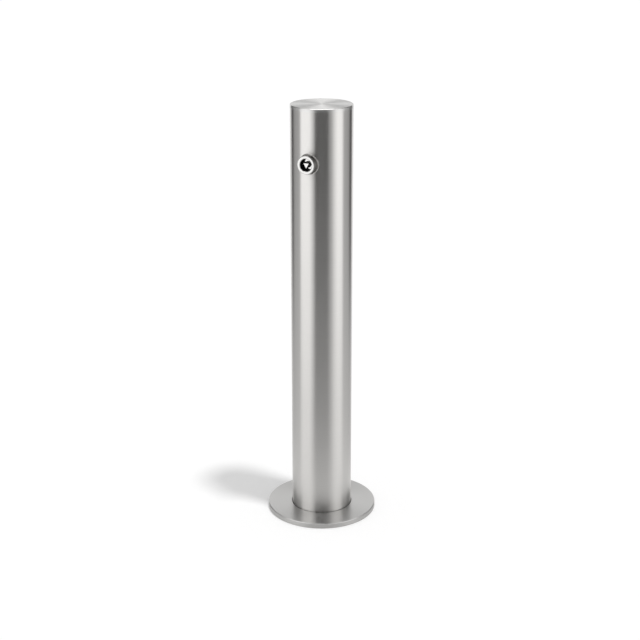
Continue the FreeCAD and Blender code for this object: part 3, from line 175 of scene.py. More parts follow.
# Fineness of the meshes
LATHE_SEGMENTS = 256
SPIGOT_SEGMENTS = 128
BOSS_HOLE_SEGMENTS = 96
FLANGE_HOLE_SEGMENTS = 48
BEVEL_STEPS = 4
RIPPLE_STEPS = 5
WELD_POINTS = 7
BOSS_WELD_POINTS = 8
SHARP_ANGLE = 25
WELD_SHARP_ANGLE = 40
BOSS_WELD_SHARP_ANGLE = 50

# Which faces count as the cap's rim and as the tube's walls, by how far their normals lean
RIM_SLOPES = (0.1, 0.95)
WALL_SLOPE = 0.95

# How noise and tool marks turn into colour, roughness and bump, the same for every finish
NOISE_RANGE = (0.3, 0.7)
FINISH_DETAIL = 3.0
# Detail of the noise that mottles the painted shade
SHADE_DETAIL = 2.0
MARK_DRIFT = 0.004
BUMP_STRENGTH = 0.6
QUARTER_TURN = 0.25

# Painted shade: shades, roughnesses, reach in millimetres, and noise in cells per metre
# Painted shade, black, in the key recess and on the sides of the key triangle
BORE_SHADE_BLACK = (0.03, 0.03, 0.03)
BORE_ROUGHNESS = 0.85
BORE_MARGIN = 0.3
TRIANGLE_BRIGHT_EDGE = 0.15
BOSS_BRIGHT_FRONT = 1
# Painted shade, mottled grey, on the side of the key boss
BOSS_SIDE_SHADE_GREY = (0.11, 0.106, 0.1)
BOSS_SIDE_ROUGHNESS = 0.3
BOSS_SIDE_SHARE = (0.86, 1.0)
BOSS_SIDE_CELLS = 90
# Painted shade on the side of the flange, a darker grey in place of a darker reflection
FLANGE_SIDE_SHADE_GREY = (0.47, 0.465, 0.455)
FLANGE_SIDE_SHADE_ROUGHNESS = 0.36
SIDE_MARGIN = 0.4
# Painted shade on the inner part of the boss weld where it meets the boss, fading towards the top
WELD_SHADE = (0.12, 0.115, 0.105)
WELD_SHADE_ROUGHNESS = 0.45
WELD_SHADE_WIDTH = (1.1, 1.7)
WELD_SHADE_CELLS = 260
WELD_SHADE_FADE = (-8, 14)
WELD_SHADE_LEAST = 0.5


# Helpers for nodes and objects
def new_material(name):
    material = bpy.data.materials.new(name)
    material.use_nodes = True
    material.node_tree.nodes.clear()
    return material, material.node_tree.nodes, material.node_tree.links


def math_node(nodes, links, operation, first, second):
    node = nodes.new("ShaderNodeMath")
    node.operation = operation
    for socket, value in zip(node.inputs, (first, second)):
        if isinstance(value, (int, float)):
            socket.default_value = value
        else:
            links.new(value, socket)
    return node.outputs[0]


def seen_background(nodes, links):
    """A factor of 1 for rays that show the background: from the camera, in a gloss or through glass."""
    path = nodes.new("ShaderNodeLightPath")
    seen = math_node(nodes, links, "MAXIMUM", path.outputs["Is Camera Ray"], path.outputs["Is Glossy Ray"])
    return math_node(nodes, links, "MAXIMUM", seen, path.outputs["Is Transmission Ray"])


def link_mesh(name, mesh, material=None):
    piece = bpy.data.objects.new(name, mesh)
    scene.collection.objects.link(piece)
    if material:
        mesh.materials.append(material)
    return piece


# Stage: camera, world, floor, lamp and cards
def add_camera():
    data = bpy.data.cameras.new("Camera")
    data.lens = CAMERA_LENS
    data.shift_x, data.shift_y = CAMERA_SHIFT
    data.clip_end = CAMERA_REACH
    camera = bpy.data.objects.new("Camera", data)
    east = CAMERA_DISTANCE * math.sin(CAMERA_AZIMUTH)
    south = CAMERA_DISTANCE * math.cos(CAMERA_AZIMUTH)
    camera.location = (east, -south, CAMERA_HEIGHT)
    camera.rotation_euler = (CAMERA_PITCH, 0, CAMERA_AZIMUTH)
    scene.collection.objects.link(camera)
    scene.camera = camera


def add_world():
    world = bpy.data.worlds.new("StudioWorld")
    scene.world = world
    world.use_nodes = True
    nodes, links = world.node_tree.nodes, world.node_tree.links
    nodes.clear()
    fill = nodes.new("ShaderNodeBackground")
    fill.inputs["Color"].default_value = WHITE
    fill.inputs["Strength"].default_value = SKY_FILL
    backdrop = nodes.new("ShaderNodeBackground")
    backdrop.inputs["Color"].default_value = WHITE
    mix = nodes.new("ShaderNodeMixShader")
    links.new(seen_background(nodes, links), mix.inputs[0])
    links.new(fill.outputs[0], mix.inputs[1])
    links.new(backdrop.outputs[0], mix.inputs[2])
    output = nodes.new("ShaderNodeOutputWorld")
    links.new(mix.outputs[0], output.inputs["Surface"])


def add_floor():
    mesh = bpy.data.meshes.new("Floor")
    half = FLOOR_HALF_WIDTH
    corners = [(-half, -half, 0), (half, -half, 0), (half, half, 0), (-half, half, 0)]
    mesh.from_pydata(corners, [], [(0, 1, 2, 3)])
    material, nodes, links = new_material("white_floor")
    paint = nodes.new("ShaderNodeBsdfDiffuse")
    paint.inputs["Color"].default_value = (FLOOR_WHITE, FLOOR_WHITE, FLOOR_WHITE, 1)
    glow = nodes.new("ShaderNodeEmission")
    strength = math_node(nodes, links, "MULTIPLY", seen_background(nodes, links), FLOOR_GLOW)
    links.new(strength, glow.inputs["Strength"])
    both = nodes.new("ShaderNodeAddShader")
    links.new(paint.outputs[0], both.inputs[0])
    links.new(glow.outputs[0], both.inputs[1])
    output = nodes.new("ShaderNodeOutputMaterial")
    links.new(both.outputs[0], output.inputs["Surface"])
    link_mesh("Floor", mesh, material)


def add_key_lamp():
    data = bpy.data.lights.new("KeyLamp", "SUN")
    data.energy = KEY_SHARE * math.pi / math.sin(KEY_ELEVATION)
    data.angle = KEY_SOFTNESS
    lamp = bpy.data.objects.new("KeyLamp", data)
    lamp.rotation_euler = (0, math.pi / 2 - KEY_ELEVATION, KEY_AZIMUTH)
    lamp.visible_glossy = False
    scene.collection.objects.link(lamp)


def tone_at(tones, angle):
    """Brightness at an angle, on straight lines between the listed ones, of which the last lies past it."""
    after = next(k for k, (place, _) in enumerate(tones) if place > angle)
    (a, low), (b, high) = tones[after - 1], tones[after]
    return low + (high - low) * (angle - a) / (b - a)


def wall_tone(angle, level):
    tone = tone_at(WALL_TONES, angle)
    if level == "low" and abs(angle) > LOW_BACK_ANGLE:
        return tone * LOW_BACK_SHARE
    if level in ("high", "top") and abs(angle) > HIGH_BACK_ANGLE:
        return tone_at(HIGH_BACK_TONES, abs(angle))
    if level == "high":
        return min(tone, HIGH_FRONT_LIMIT)
    if level == "top" and abs(angle) < TOP_FRONT_ANGLE:
        return TOP_FRONT_TONE
    return tone


def floor_tone(angle, share):
    return 1 - share * (1 - tone_at(FLOOR_TONES, angle))


def overhead_tone(angle, share):
    edge = tone_at(OVERHEAD_EDGE_TONES, angle)
    return edge + share * (OVERHEAD_TONE - edge)


def glowing_card(name):
    """Shines with the brightness that the card's own points carry."""
    material, nodes, links = new_material(name)
    brightness = nodes.new("ShaderNodeAttribute")
    brightness.attribute_name = "tone"
    glow = nodes.new("ShaderNodeEmission")
    links.new(brightness.outputs["Fac"], glow.inputs["Strength"])
    output = nodes.new("ShaderNodeOutputMaterial")
    links.new(glow.outputs[0], output.inputs["Surface"])
    material.cycles.emission_sampling = "NONE"
    return material


def add_card(name, rows, tone):
    """A ring round the post that only gloss sees. Rows are (radius, height, what the tone depends on)."""
    vertices = []
    tones = []
    for column in range(CARD_COLUMNS):
        angle = 360 * column / CARD_COLUMNS - 180
        turn = CAMERA_AZIMUTH + math.radians(angle)
        for radius, height, kind in rows:
            vertices.append((radius * math.sin(turn), -radius * math.cos(turn), height))
            tones.append(tone(angle, kind))
    faces = []
    count = len(rows)
    for column in range(CARD_COLUMNS):
        here = count * column
        after = count * ((column + 1) % CARD_COLUMNS)
        faces += [(here + k, after + k, after + k + 1, here + k + 1) for k in range(count - 1)]
    mesh = bpy.data.meshes.new(name)
    mesh.from_pydata(vertices, [], faces)
    mesh.attributes.new("tone", "FLOAT", "POINT").data.foreach_set("value", tones)
    card = link_mesh(name, mesh, glowing_card(name))
    card.visible_camera = False
    card.visible_diffuse = False
    card.visible_transmission = False
    card.visible_shadow = False


# Materials
def object_place(nodes, links, centre=(0, 0, 0)):
    """Object coordinates in metres, measured from a centre."""
    place = nodes.new("ShaderNodeTexCoord")
    shift = nodes.new("ShaderNodeVectorMath")
    shift.operation = "SUBTRACT"
    shift.inputs[1].default_value = centre
    links.new(place.outputs["Object"], shift.inputs[0])
    return shift.outputs["Vector"]


def noise(nodes, links, place, cells, detail):
    """Noise with its own number of cells per metre along each axis."""
    scaled = nodes.new("ShaderNodeVectorMath")
    scaled.operation = "MULTIPLY"
    scaled.inputs[1].default_value = cells
    links.new(place, scaled.inputs[0])
    texture = nodes.new("ShaderNodeTexNoise")
    texture.inputs["Scale"].default_value = 1.0
    texture.inputs["Detail"].default_value = detail
    links.new(scaled.outputs["Vector"], texture.inputs["Vector"])
    return texture.outputs["Fac"]


def distance_from_axis(nodes, links, place, across):
    """Distance from an axis through the place's centre, and the place split into its axes."""
    split = nodes.new("ShaderNodeSeparateXYZ")
    links.new(place, split.inputs[0])
    squares = [math_node(nodes, links, "MULTIPLY", split.outputs[n], split.outputs[n]) for n in across]
    return math_node(nodes, links, "SQRT", math_node(nodes, links, "ADD", *squares), 0.0), split


def turned_place(nodes, links, place, axis):
    """A coordinate that runs with the tool marks of turning: radius and height, hardly any angle."""
    across = [n for n in "XYZ" if n != axis]
    radius, split = distance_from_axis(nodes, links, place, across)
    angle = math_node(nodes, links, "ARCTAN2", split.outputs[across[0]], split.outputs[across[1]])
    joined = nodes.new("ShaderNodeCombineXYZ")
    links.new(radius, joined.inputs["X"])
    links.new(math_node(nodes, links, "MULTIPLY", angle, MARK_DRIFT), joined.inputs["Y"])
    links.new(split.outputs[axis], joined.inputs["Z"])
    return joined.outputs["Vector"]


def ranged(nodes, links, value, start, end, low, high):
    """Maps a value between start and end to one between low and high."""
    node = nodes.new("ShaderNodeMapRange")
    node.inputs["From Min"].default_value = start
    node.inputs["From Max"].default_value = end
    node.inputs["To Min"].default_value = low
    node.inputs["To Max"].default_value = high
    links.new(value, node.inputs["Value"])
    return node.outputs["Result"]


def spread(nodes, links, value, low, high):
    """Maps the middle of a noise to a range."""
    return ranged(nodes, links, value, *NOISE_RANGE, low, high)


def tinted(nodes, links, factor, dark, pale):
    mix = nodes.new("ShaderNodeMix")
    mix.data_type = "RGBA"
    links.new(factor, mix.inputs["Factor"])
    mix.inputs["A"].default_value = (*dark, 1)
    mix.inputs["B"].default_value = (*pale, 1)
    return mix.outputs["Result"]


def shaded(color, factor):
    return tuple(min(1.0, c * factor) for c in color)


def surface(name, color, roughness, metallic=1.0, anisotropic=0.0, axis=None, centre=(0, 0, 0), turned=False,
            *, grain, depth, vary, rough_vary, cloud):
    """One finish: colour clouds, fine marks that change the roughness, and a bump of those marks."""
    material, nodes, links = new_material(name)
    shader = nodes.new("ShaderNodeBsdfPrincipled")
    output = nodes.new("ShaderNodeOutputMaterial")
    links.new(shader.outputs[0], output.inputs["Surface"])
    shader.inputs["Metallic"].default_value = metallic
    place = object_place(nodes, links, centre)
    clouds = noise(nodes, links, place, (cloud, cloud, cloud), FINISH_DETAIL)
    if turned:
        place = turned_place(nodes, links, place, axis)
    marks = noise(nodes, links, place, grain, FINISH_DETAIL)
    half_clouds = math_node(nodes, links, "MULTIPLY", clouds, 0.5)
    half_marks = math_node(nodes, links, "MULTIPLY", marks, 0.5)
    both = math_node(nodes, links, "ADD", half_clouds, half_marks)
    paleness = spread(nodes, links, both, 0.0, 1.0)
    tint = tinted(nodes, links, paleness, shaded(color, 1 - vary), shaded(color, 1 + vary))
    links.new(tint, shader.inputs["Base Color"])
    uneven = spread(nodes, links, both, roughness - rough_vary, roughness + rough_vary)
    links.new(uneven, shader.inputs["Roughness"])
    if anisotropic:
        shader.inputs["Anisotropic"].default_value = anisotropic
        shader.inputs["Anisotropic Rotation"].default_value = QUARTER_TURN
        tangent = nodes.new("ShaderNodeTangent")
        tangent.direction_type = "RADIAL"
        tangent.axis = axis
        links.new(tangent.outputs[0], shader.inputs["Tangent"])
    bump = nodes.new("ShaderNodeBump")
    bump.inputs["Strength"].default_value = BUMP_STRENGTH
    bump.inputs["Distance"].default_value = depth * MM
    links.new(marks, bump.inputs["Height"])
    links.new(bump.outputs[0], shader.inputs["Normal"])
    return material


def paint_shade(material, share, shade, roughness):
    """Mixes painted shade, a darker and rougher patch, into a finish."""
    nodes, links = material.node_tree.nodes, material.node_tree.links
    shader = next(node for node in nodes if node.type == "BSDF_PRINCIPLED")
    for name, data_type, value in (("Base Color", "RGBA", (*shade, 1)), ("Roughness", "FLOAT", roughness)):
        socket = shader.inputs[name]
        mix = nodes.new("ShaderNodeMix")
        mix.data_type = data_type
        links.new(share, mix.inputs["Factor"])
        links.new(socket.links[0].from_socket, mix.inputs["A"])
        mix.inputs["B"].default_value = value
        links.new(mix.outputs["Result"], socket)


def paint_shade_triangle(material):
    """Paints black shade on the sides of the key triangle, between the collar and the bright front edge."""
    nodes, links = material.node_tree.nodes, material.node_tree.links
    split = nodes.new("ShaderNodeSeparateXYZ")
    links.new(object_place(nodes, links), split.inputs[0])
    front = -(TRIANGLE_FRONT - TRIANGLE_BRIGHT_EDGE) * MM
    back = -(COLLAR_FRONT + BORE_MARGIN) * MM
    behind = math_node(nodes, links, "GREATER_THAN", split.outputs["Y"], front)
    before = math_node(nodes, links, "LESS_THAN", split.outputs["Y"], back)
    paint_shade(material, math_node(nodes, links, "MULTIPLY", behind, before), BORE_SHADE_BLACK, BORE_ROUGHNESS)


def paint_shade_weld(material):
    """Paints shade on the inner part of the boss weld, less towards its top, and leaves a bright toe on the
    tube.
    """
    nodes, links = material.node_tree.nodes, material.node_tree.links
    place = object_place(nodes, links, BOSS_AXIS)
    radius, split = distance_from_axis(nodes, links, place, "XZ")
    uneven = noise(nodes, links, place, (WELD_SHADE_CELLS, WELD_SHADE_CELLS, WELD_SHADE_CELLS), SHADE_DETAIL)
    narrow, wide = (width * MM for width in WELD_SHADE_WIDTH)
    edge = math_node(nodes, links, "ADD", spread(nodes, links, uneven, narrow, wide), BOSS_RADIUS * MM)
    inner = math_node(nodes, links, "LESS_THAN", radius, edge)
    low, high = (level * MM for level in WELD_SHADE_FADE)
    lower = ranged(nodes, links, split.outputs["Z"], low, high, 1.0, WELD_SHADE_LEAST)
    paint_shade(material, math_node(nodes, links, "MULTIPLY", inner, lower), WELD_SHADE, WELD_SHADE_ROUGHNESS)


def paint_shade_flange(material):
    """Paints shade on the cut side of the flange, below its bevel: a darker and rougher grey in place of a
    darker reflection.
    """
    nodes, links = material.node_tree.nodes, material.node_tree.links
    radius, split = distance_from_axis(nodes, links, object_place(nodes, links), "XY")
    outside = math_node(nodes, links, "GREATER_THAN", radius, (FLANGE_RADIUS - SIDE_MARGIN) * MM)
    below = math_node(nodes, links, "LESS_THAN", split.outputs["Z"], (FLANGE_TOP - FLANGE_CHAMFER) * MM)
    paint_shade(material, math_node(nodes, links, "MULTIPLY", outside, below), FLANGE_SIDE_SHADE_GREY, FLANGE_SIDE_SHADE_ROUGHNESS)


def paint_shade_boss(material):
    """Paints black shade in the recess and mottled grey shade on the side of the key boss, behind its bright
    front ring.
    """
    nodes, links = material.node_tree.nodes, material.node_tree.links
    place = object_place(nodes, links, BOSS_AXIS)
    radius, split = distance_from_axis(nodes, links, place, "XZ")
    front = -(BOSS_FRONT - BOSS_BRIGHT_FRONT) * MM
    behind = math_node(nodes, links, "GREATER_THAN", split.outputs["Y"], front)
    inside = math_node(nodes, links, "LESS_THAN", radius, (KEY_RECESS_RADIUS + BORE_MARGIN) * MM)
    paint_shade(material, math_node(nodes, links, "MULTIPLY", inside, behind), BORE_SHADE_BLACK, BORE_ROUGHNESS)
    # Mottled painted shade on the side of the key boss
    outside = math_node(nodes, links, "GREATER_THAN", radius, (BOSS_RADIUS - SIDE_MARGIN) * MM)
    uneven = noise(nodes, links, place, (BOSS_SIDE_CELLS, BOSS_SIDE_CELLS, BOSS_SIDE_CELLS), SHADE_DETAIL)
    share = math_node(nodes, links, "MULTIPLY", outside, spread(nodes, links, uneven, *BOSS_SIDE_SHARE))
    paint_shade(material, share, BOSS_SIDE_SHADE_GREY, BOSS_SIDE_ROUGHNESS)


brushed_tube = surface("brushed_tube", (0.62, 0.61, 0.595), 0.3, anisotropic=0.97, axis="Z",
                       grain=(9, 9, 1300), depth=0.004, vary=0.03, rough_vary=0.02, cloud=6)
spun_cap = surface("spun_cap", (0.66, 0.655, 0.645), 0.4, anisotropic=0.84, axis="Z", turned=True,
                   grain=(1100, 60, 300), depth=0.004, vary=0.04, rough_vary=0.03, cloud=30)
turned_rim = surface("turned_rim", (0.62, 0.615, 0.605), 0.13, axis="Z", turned=True,
                     grain=(1100, 60, 1100), depth=0.002, vary=0.03, rough_vary=0.02, cloud=30)
turned_flange = surface("turned_flange", (0.6, 0.595, 0.585), 0.3, anisotropic=0.9, axis="Z", turned=True,
                        grain=(1000, 60, 900), depth=0.004, vary=0.04, rough_vary=0.03, cloud=20)
turned_boss = surface("turned_boss", (0.59, 0.585, 0.575), 0.16, axis="Y", centre=BOSS_AXIS, turned=True,
                      grain=(1500, 60, 1500), depth=0.003, vary=0.04, rough_vary=0.03, cloud=60)
bright_steel = surface("bright_steel", (0.62, 0.615, 0.605), 0.09, axis="Y", centre=BOSS_AXIS, turned=True,
                       grain=(1500, 60, 1200), depth=0.001, vary=0.03, rough_vary=0.02, cloud=80)
turned_steel = surface("turned_steel", (0.56, 0.555, 0.55), 0.34, anisotropic=0.6, axis="Z", turned=True,
                       grain=(900, 60, 1400), depth=0.008, vary=0.06, rough_vary=0.05, cloud=40)
cross_steel = surface("cross_steel", (0.58, 0.575, 0.57), 0.3, anisotropic=0.5, axis="Y",
                      grain=(300, 1500, 300), depth=0.005, vary=0.05, rough_vary=0.05, cloud=60)
milled_steel = surface("milled_steel", (0.56, 0.555, 0.55), 0.36,
                       grain=(1100, 90, 500), depth=0.01, vary=0.07, rough_vary=0.06, cloud=50)
drawn_steel = surface("drawn_steel", (0.5, 0.495, 0.49), 0.42,
                      grain=(700, 700, 12), depth=0.01, vary=0.08, rough_vary=0.06, cloud=30)
plated_steel = surface("plated_steel", (0.6, 0.62, 0.64), 0.34,
                       grain=(260, 260, 260), depth=0.006, vary=0.07, rough_vary=0.07, cloud=45)
spring_steel = surface("spring_steel", (0.3, 0.3, 0.31), 0.36,
                       grain=(500, 500, 500), depth=0.004, vary=0.12, rough_vary=0.06, cloud=120)
bronze = surface("bronze", (0.68, 0.5, 0.28), 0.4,
                 grain=(1600, 1600, 1600), depth=0.02, vary=0.1, rough_vary=0.08, cloud=200)
black_nylon = surface("black_nylon", (0.04, 0.04, 0.045), 0.48, metallic=0.0,
                      grain=(900, 900, 900), depth=0.02, vary=0.15, rough_vary=0.06, cloud=60)
white_nylon = surface("white_nylon", (0.78, 0.77, 0.72), 0.42, metallic=0.0,
                      grain=(700, 700, 700), depth=0.015, vary=0.03, rough_vary=0.06, cloud=30)
black_rubber = surface("black_rubber", (0.03, 0.03, 0.03), 0.72, metallic=0.0,
                       grain=(1400, 1400, 1400), depth=0.03, vary=0.2, rough_vary=0.08, cloud=70)
weld_metal = surface("weld_metal", (0.5, 0.47, 0.43), 0.38,
                     grain=(500, 500, 500), depth=0.02, vary=0.14, rough_vary=0.1, cloud=160)
# Steel of the boss weld, whose inner part gets painted shade, darker lower down
shaded_weld = surface("shaded_weld", (0.6, 0.59, 0.575), 0.3,
                      grain=(420, 420, 420), depth=0.02, vary=0.12, rough_vary=0.1, cloud=260)
# Painted shade in the key recess, on the key boss side, the boss weld, the flange's side and the key
# triangle's sides
paint_shade_boss(turned_boss)
paint_shade_weld(shaded_weld)
paint_shade_flange(turned_flange)
paint_shade_triangle(bright_steel)

# Nodes of the part that are shown as they are, each with its finish
NODE_FINISH = {
    "foot_gasket": black_rubber, "locating_dowel": turned_steel, "king_pin": turned_steel,
    "lower_guide_ring": turned_steel, "spigot_guide_liner": black_nylon, "jaw_bulkhead": turned_steel,
    "jaw_rail_rear": milled_steel, "jaw_rail_front": milled_steel, "jaw_cover": plated_steel,
    "jaw_cover_screws": plated_steel, "right_jaw": milled_steel, "right_jaw_pin": cross_steel,
    "left_jaw": milled_steel, "left_jaw_pin": cross_steel, "cam_yoke": plated_steel, "pull_rod": drawn_steel,
    "lower_rod_pin": cross_steel, "upper_rod_pin": cross_steel, "rod_guide_disc": plated_steel,
    "rod_guide_bush": black_nylon, "rack_plate": plated_steel, "pinion": cross_steel, "key_boss": turned_boss,
    "key_spindle": bright_steel, "spindle_seal": black_rubber, "front_spindle_bush": bronze,
    "rear_spindle_bush": bronze, "friction_spring_washer": spring_steel, "retaining_clip": spring_steel,
    "lock_case_front": plated_steel, "lock_case_rear": plated_steel, "rack_guide_right": white_nylon,
    "rack_guide_left": white_nylon, "lock_case_screws": plated_steel,
}


def finish_nodes():
    for name, material in NODE_FINISH.items():
        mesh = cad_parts[name].data
        mesh.materials.clear()
        mesh.materials.append(material)


# Shapes
def smooth(mesh, sharp_angle):
    mesh.shade_smooth()
    mesh.set_sharp_from_angle(angle=math.radians(sharp_angle))


def finished_mesh(name, shape, sharp_angle):
    """The mesh of a closed shape, smooth where its faces meet at less than an angle in degrees."""
    bmesh.ops.recalc_face_normals(shape, faces=shape.faces)
    mesh = bpy.data.meshes.new(name)
    shape.to_mesh(mesh)
    shape.free()
    smooth(mesh, sharp_angle)
    return mesh


def arc(centre, radius, start, end, steps):
    """Points of an arc in a profile, from a start to an end angle in degrees."""
    angles = [math.radians(start + (end - start) * i / steps) for i in range(steps + 1)]
    return [(centre[0] + radius * math.cos(a), centre[1] + radius * math.sin(a)) for a in angles]


def lathe(name, profile, segments=LATHE_SEGMENTS, closed=True):
    """Turns a profile of (radius, height) in millimetres about Z. Points on the axis are shared."""
    shape = bmesh.new()
    rings = []
    for radius, height in profile:
        if radius == 0:
            rings.append([shape.verts.new((0, 0, height * MM))])
            continue
        ring = []
        for i in range(segments):
            a = 2 * math.pi * i / segments
            ring.append(shape.verts.new((radius * MM * math.cos(a), radius * MM * math.sin(a), height * MM)))
        rings.append(ring)
    pairs = list(zip(rings, rings[1:]))
    if closed:
        pairs.append((rings[-1], rings[0]))
    for low, high in pairs:
        for i in range(segments):
            j = (i + 1) % segments
            corners = [low[i % len(low)], low[j % len(low)], high[j % len(high)], high[i % len(high)]]
            corners = list(dict.fromkeys(corners))
            if len(corners) > 2:
                shape.faces.new(corners)
    return finished_mesh(name, shape, SHARP_ANGLE)


def cutter(radius, matrix, half_length, segments):
    """A rod to cut a hole with, centred on the matrix and along its Z."""
    shape = bmesh.new()
    bmesh.ops.create_cone(shape, cap_ends=True, segments=segments, radius1=radius * MM, radius2=radius * MM,
                          depth=2 * half_length * MM, matrix=matrix)
    mesh = bpy.data.meshes.new("Cutter")
    shape.to_mesh(mesh)
    shape.free()
    return link_mesh("Cutter", mesh)


def cut(piece, cutters):
    """Cuts holes and keeps the result as the piece's own mesh."""
    for tool in cutters:
        modifier = piece.modifiers.new("Hole", "BOOLEAN")
        modifier.operation = "DIFFERENCE"
        modifier.solver = "EXACT"
        modifier.object = tool
    bpy.context.view_layer.update()
    graph = bpy.context.evaluated_depsgraph_get()
    mesh = bpy.data.meshes.new_from_object(piece.evaluated_get(graph))
    piece.modifiers.clear()
    piece.data = mesh
    for tool in cutters:
        bpy.data.objects.remove(tool)
    smooth(mesh, SHARP_ANGLE)


def round_normals(mesh):
    """Gives the walls of a Z tube exact round normals, and leaves its flat faces flat."""
    normals = [None] * len(mesh.loops)
    for face in mesh.polygons:
        out = Vector((face.center.x, face.center.y, 0)).normalized()
        side = face.normal.dot(out)
        for loop in face.loop_indices:
            normal = face.normal
            if abs(side) > WALL_SLOPE:
                place = mesh.vertices[mesh.loops[loop].vertex_index].co
                normal = Vector((place.x, place.y, 0)).normalized() * math.copysign(1, side)
            normals[loop] = tuple(normal)
    mesh.normals_split_custom_set(normals)


def dress(piece, body, slot, *replaced):
    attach(piece, body)
    if replaced:
        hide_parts(*replaced)


# Turned and drawn pieces
def add_post_shell():
    profile = [
        (BORE_RADIUS + EDGE_BREAK, POST_BOTTOM), (POST_RADIUS - EDGE_BREAK, POST_BOTTOM),
        (POST_RADIUS, POST_BOTTOM + EDGE_BREAK), (POST_RADIUS, TUBE_TOP), (BORE_RADIUS, TUBE_TOP),
        (BORE_RADIUS, POST_BOTTOM + EDGE_BREAK),
    ]
    piece = link_mesh("post_shell", lathe("post_shell", profile), brushed_tube)
    boss_place = Matrix.Translation((0, -POST_RADIUS * MM, BOSS_LEVEL * MM))
    towards_front = boss_place @ Matrix.Rotation(math.pi / 2, 4, "X")
    cut(piece, [cutter(BOSS_RADIUS + PRESS_GAP, towards_front, BOSS_RADIUS + POST_WALL, BOSS_HOLE_SEGMENTS)])
    round_normals(piece.data)
    dress(piece, "post", "brushed_tube", "post_tube")


def add_cap_disc():
    register = BORE_RADIUS - WELD_GAP
    rise = CAP_BEVEL_HEIGHT - CAP_BEVEL_SOFTNESS
    low = (POST_RADIUS - CAP_BEVEL_SOFTNESS, POST_TOP - CAP_BEVEL_HEIGHT)
    high = (low[0] - rise * math.tan(math.radians(CAP_BEVEL_ANGLE)), POST_TOP - CAP_BEVEL_SOFTNESS)
    rim = arc(low, CAP_BEVEL_SOFTNESS, 0, CAP_BEVEL_ANGLE, BEVEL_STEPS)
    rim += arc(high, CAP_BEVEL_SOFTNESS, CAP_BEVEL_ANGLE, 90, BEVEL_STEPS)
    profile = [
        (0, TUBE_TOP - CAP_REGISTER_DEPTH), (register, TUBE_TOP - CAP_REGISTER_DEPTH), (register, TUBE_TOP),
        (POST_RADIUS, TUBE_TOP), *rim, (0, POST_TOP),
    ]
    piece = link_mesh("cap_disc", lathe("cap_disc", profile, closed=False), spun_cap)
    piece.data.materials.append(turned_rim)
    steep, flat = RIM_SLOPES
    for face in piece.data.polygons:
        face.material_index = int(steep < face.normal.z < flat)
    dress(piece, "post", "spun_cap", "top_cap")


def add_flange_disc():
    foot = FLANGE_CHAMFER / 2
    profile = [
        (DRAIN_RADIUS, 0), (FLANGE_RADIUS - foot, 0), (FLANGE_RADIUS, foot),
        (FLANGE_RADIUS, FLANGE_TOP - FLANGE_CHAMFER), (FLANGE_RADIUS - FLANGE_CHAMFER, FLANGE_TOP),
        (RECESS_RADIUS + EDGE_BREAK, FLANGE_TOP), (RECESS_RADIUS, FLANGE_TOP - EDGE_BREAK),
        (RECESS_RADIUS, RECESS_FLOOR), (DRAIN_RADIUS, RECESS_FLOOR),
    ]
    piece = link_mesh("flange_disc", lathe("flange_disc", profile), turned_flange)
    holes = []
    for k in range(ANCHOR_COUNT):
        a = 2 * math.pi * (k + 0.5) / ANCHOR_COUNT
        place = (ANCHOR_CIRCLE_RADIUS * MM * math.cos(a), ANCHOR_CIRCLE_RADIUS * MM * math.sin(a), 0)
        holes.append(cutter(ANCHOR_RADIUS, Matrix.Translation(place), 3 * FLANGE_TOP, FLANGE_HOLE_SEGMENTS))
    dowel_seat = Matrix.Translation((DOWEL_PLACE * MM, 0, RECESS_FLOOR * MM))
    holes.append(cutter(DOWEL_RADIUS + PRESS_GAP, dowel_seat, DOWEL_DEPTH, FLANGE_HOLE_SEGMENTS))
    cut(piece, holes)
    dress(piece, "base", "turned_flange", "base_flange")


def add_spigot_shell():
    profile = [
        (SPIGOT_BORE_RADIUS, RECESS_FLOOR), (SPIGOT_RADIUS, RECESS_FLOOR), (SPIGOT_RADIUS, SPIGOT_TOP),
        (SPIGOT_BORE_RADIUS, SPIGOT_TOP),
    ]
    piece = link_mesh("spigot_shell", lathe("spigot_shell", profile, SPIGOT_SEGMENTS), drawn_steel)
    dress(piece, "base", "machined_steel", "spigot_tube")


# Weld beads
def bead_steps(radius, ripple_length):
    """Steps round a bead, a whole number of ripples."""
    return RIPPLE_STEPS * round(2 * math.pi * radius / ripple_length)


def ripple(step, depth):
    """Share of the bead's full leg at a step: each ripple swells and falls by its depth."""
    return 1 - depth + depth * math.sin(math.pi * (step % RIPPLE_STEPS) / RIPPLE_STEPS)


def bead_section(leg, bulge, root, points):
    """A bead's section, as distances from its two walls: its face, bulging by a share, and its root."""
    section = []
    for k in range(points):
        t = k / (points - 1)
        swell = bulge * leg * math.sin(math.pi * t)
        section.append((leg * (1 - t) + swell, leg * t + swell))
    return section + [(root, root)]


def bead_mesh(name, shape, rings, sharp_angle):
    """Joins the sections round a closed bead."""
    for ring, after in zip(rings, rings[1:] + rings[:1]):
        for k in range(len(ring)):
            m = (k + 1) % len(ring)
            shape.faces.new((ring[k], after[k], after[m], ring[m]))
    return finished_mesh(name, shape, sharp_angle)


def add_weld(name, body, radius, height, leg, side):
    """A rippled bead between a tube and a disc: outside and above at side 1, inside and below at -1."""
    shape = bmesh.new()
    rings = []
    steps = bead_steps(radius, WELD_RIPPLE_LENGTH)
    for i in range(steps):
        a = 2 * math.pi * i / steps
        wave = 1 + WELD_WAVE_DEPTH * math.sin(WELD_WAVES * a + radius)
        size = leg * ripple(i, WELD_RIPPLE_DEPTH) * wave
        ring = []
        for out, up in bead_section(size, WELD_BULGE, 0, WELD_POINTS):
            r = (radius + side * out) * MM
            ring.append(shape.verts.new((r * math.cos(a), r * math.sin(a), (height + side * up) * MM)))
        rings.append(ring)
    piece = link_mesh(name, bead_mesh(name, shape, rings, WELD_SHARP_ANGLE), weld_metal)
    dress(piece, body, "machined_steel")


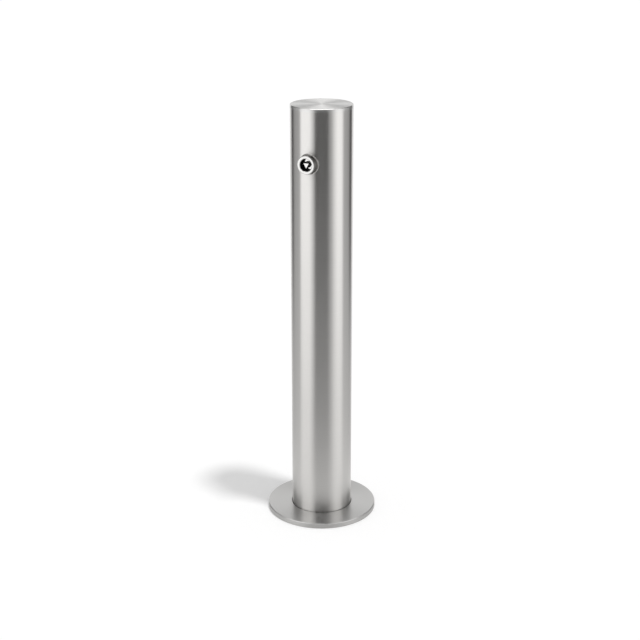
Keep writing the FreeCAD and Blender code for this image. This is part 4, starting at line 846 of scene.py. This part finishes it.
def add_boss_weld():
    """A small rippled bead where the key boss meets the tube, along the curve where they cross."""
    shape = bmesh.new()
    rings = []
    steps = bead_steps(BOSS_RADIUS, BOSS_WELD_RIPPLE_LENGTH)
    for i in range(steps):
        a = 2 * math.pi * i / steps
        wave = 1 + BOSS_WELD_WAVE_DEPTH * math.sin(BOSS_WELD_WAVES * a)
        low_swell = 1 + BOSS_WELD_LOW_SWELL * max(0, -math.sin(a))
        size = BOSS_WELD_LEG * ripple(i, BOSS_WELD_RIPPLE_DEPTH) * wave * low_swell
        ring = []
        for up, out in bead_section(size, -BOSS_WELD_HOLLOW, -BOSS_WELD_ROOT, BOSS_WELD_POINTS):
            across = BOSS_RADIUS + out
            x = across * math.cos(a)
            y = -math.sqrt(POST_RADIUS ** 2 - x * x) - up
            ring.append(shape.verts.new((x * MM, y * MM, (BOSS_LEVEL + across * math.sin(a)) * MM)))
        rings.append(ring)
    piece = link_mesh("boss_weld", bead_mesh("boss_weld", shape, rings, BOSS_WELD_SHARP_ANGLE), shaded_weld)
    dress(piece, "post", "machined_steel")


# The whole scene
add_camera()
add_world()
add_floor()
add_key_lamp()
add_card("StudioWall", [(WALL_RADIUS, height, level) for height, level in WALL_LEVELS], wall_tone)
add_card("StudioFloor", [(radius, FLOOR_CARD_LEVEL, share) for radius, share in FLOOR_RINGS], floor_tone)
add_card("TopBox", [(radius, WALL_TOP, share) for radius, share in OVERHEAD_RINGS], overhead_tone)
finish_nodes()
add_post_shell()
add_cap_disc()
add_flange_disc()
add_spigot_shell()
add_weld("spigot_foot_weld", "base", SPIGOT_RADIUS, RECESS_FLOOR, leg=4.5, side=1)
add_weld("guide_ring_weld", "post", BORE_RADIUS, GUIDE_RING_LEVEL, leg=2.5, side=-1)
add_weld("bulkhead_weld", "post", BORE_RADIUS, BULKHEAD_LEVEL, leg=3, side=-1)
add_weld("rod_guide_weld", "post", BORE_RADIUS, ROD_GUIDE_LEVEL, leg=3, side=-1)
add_boss_weld()
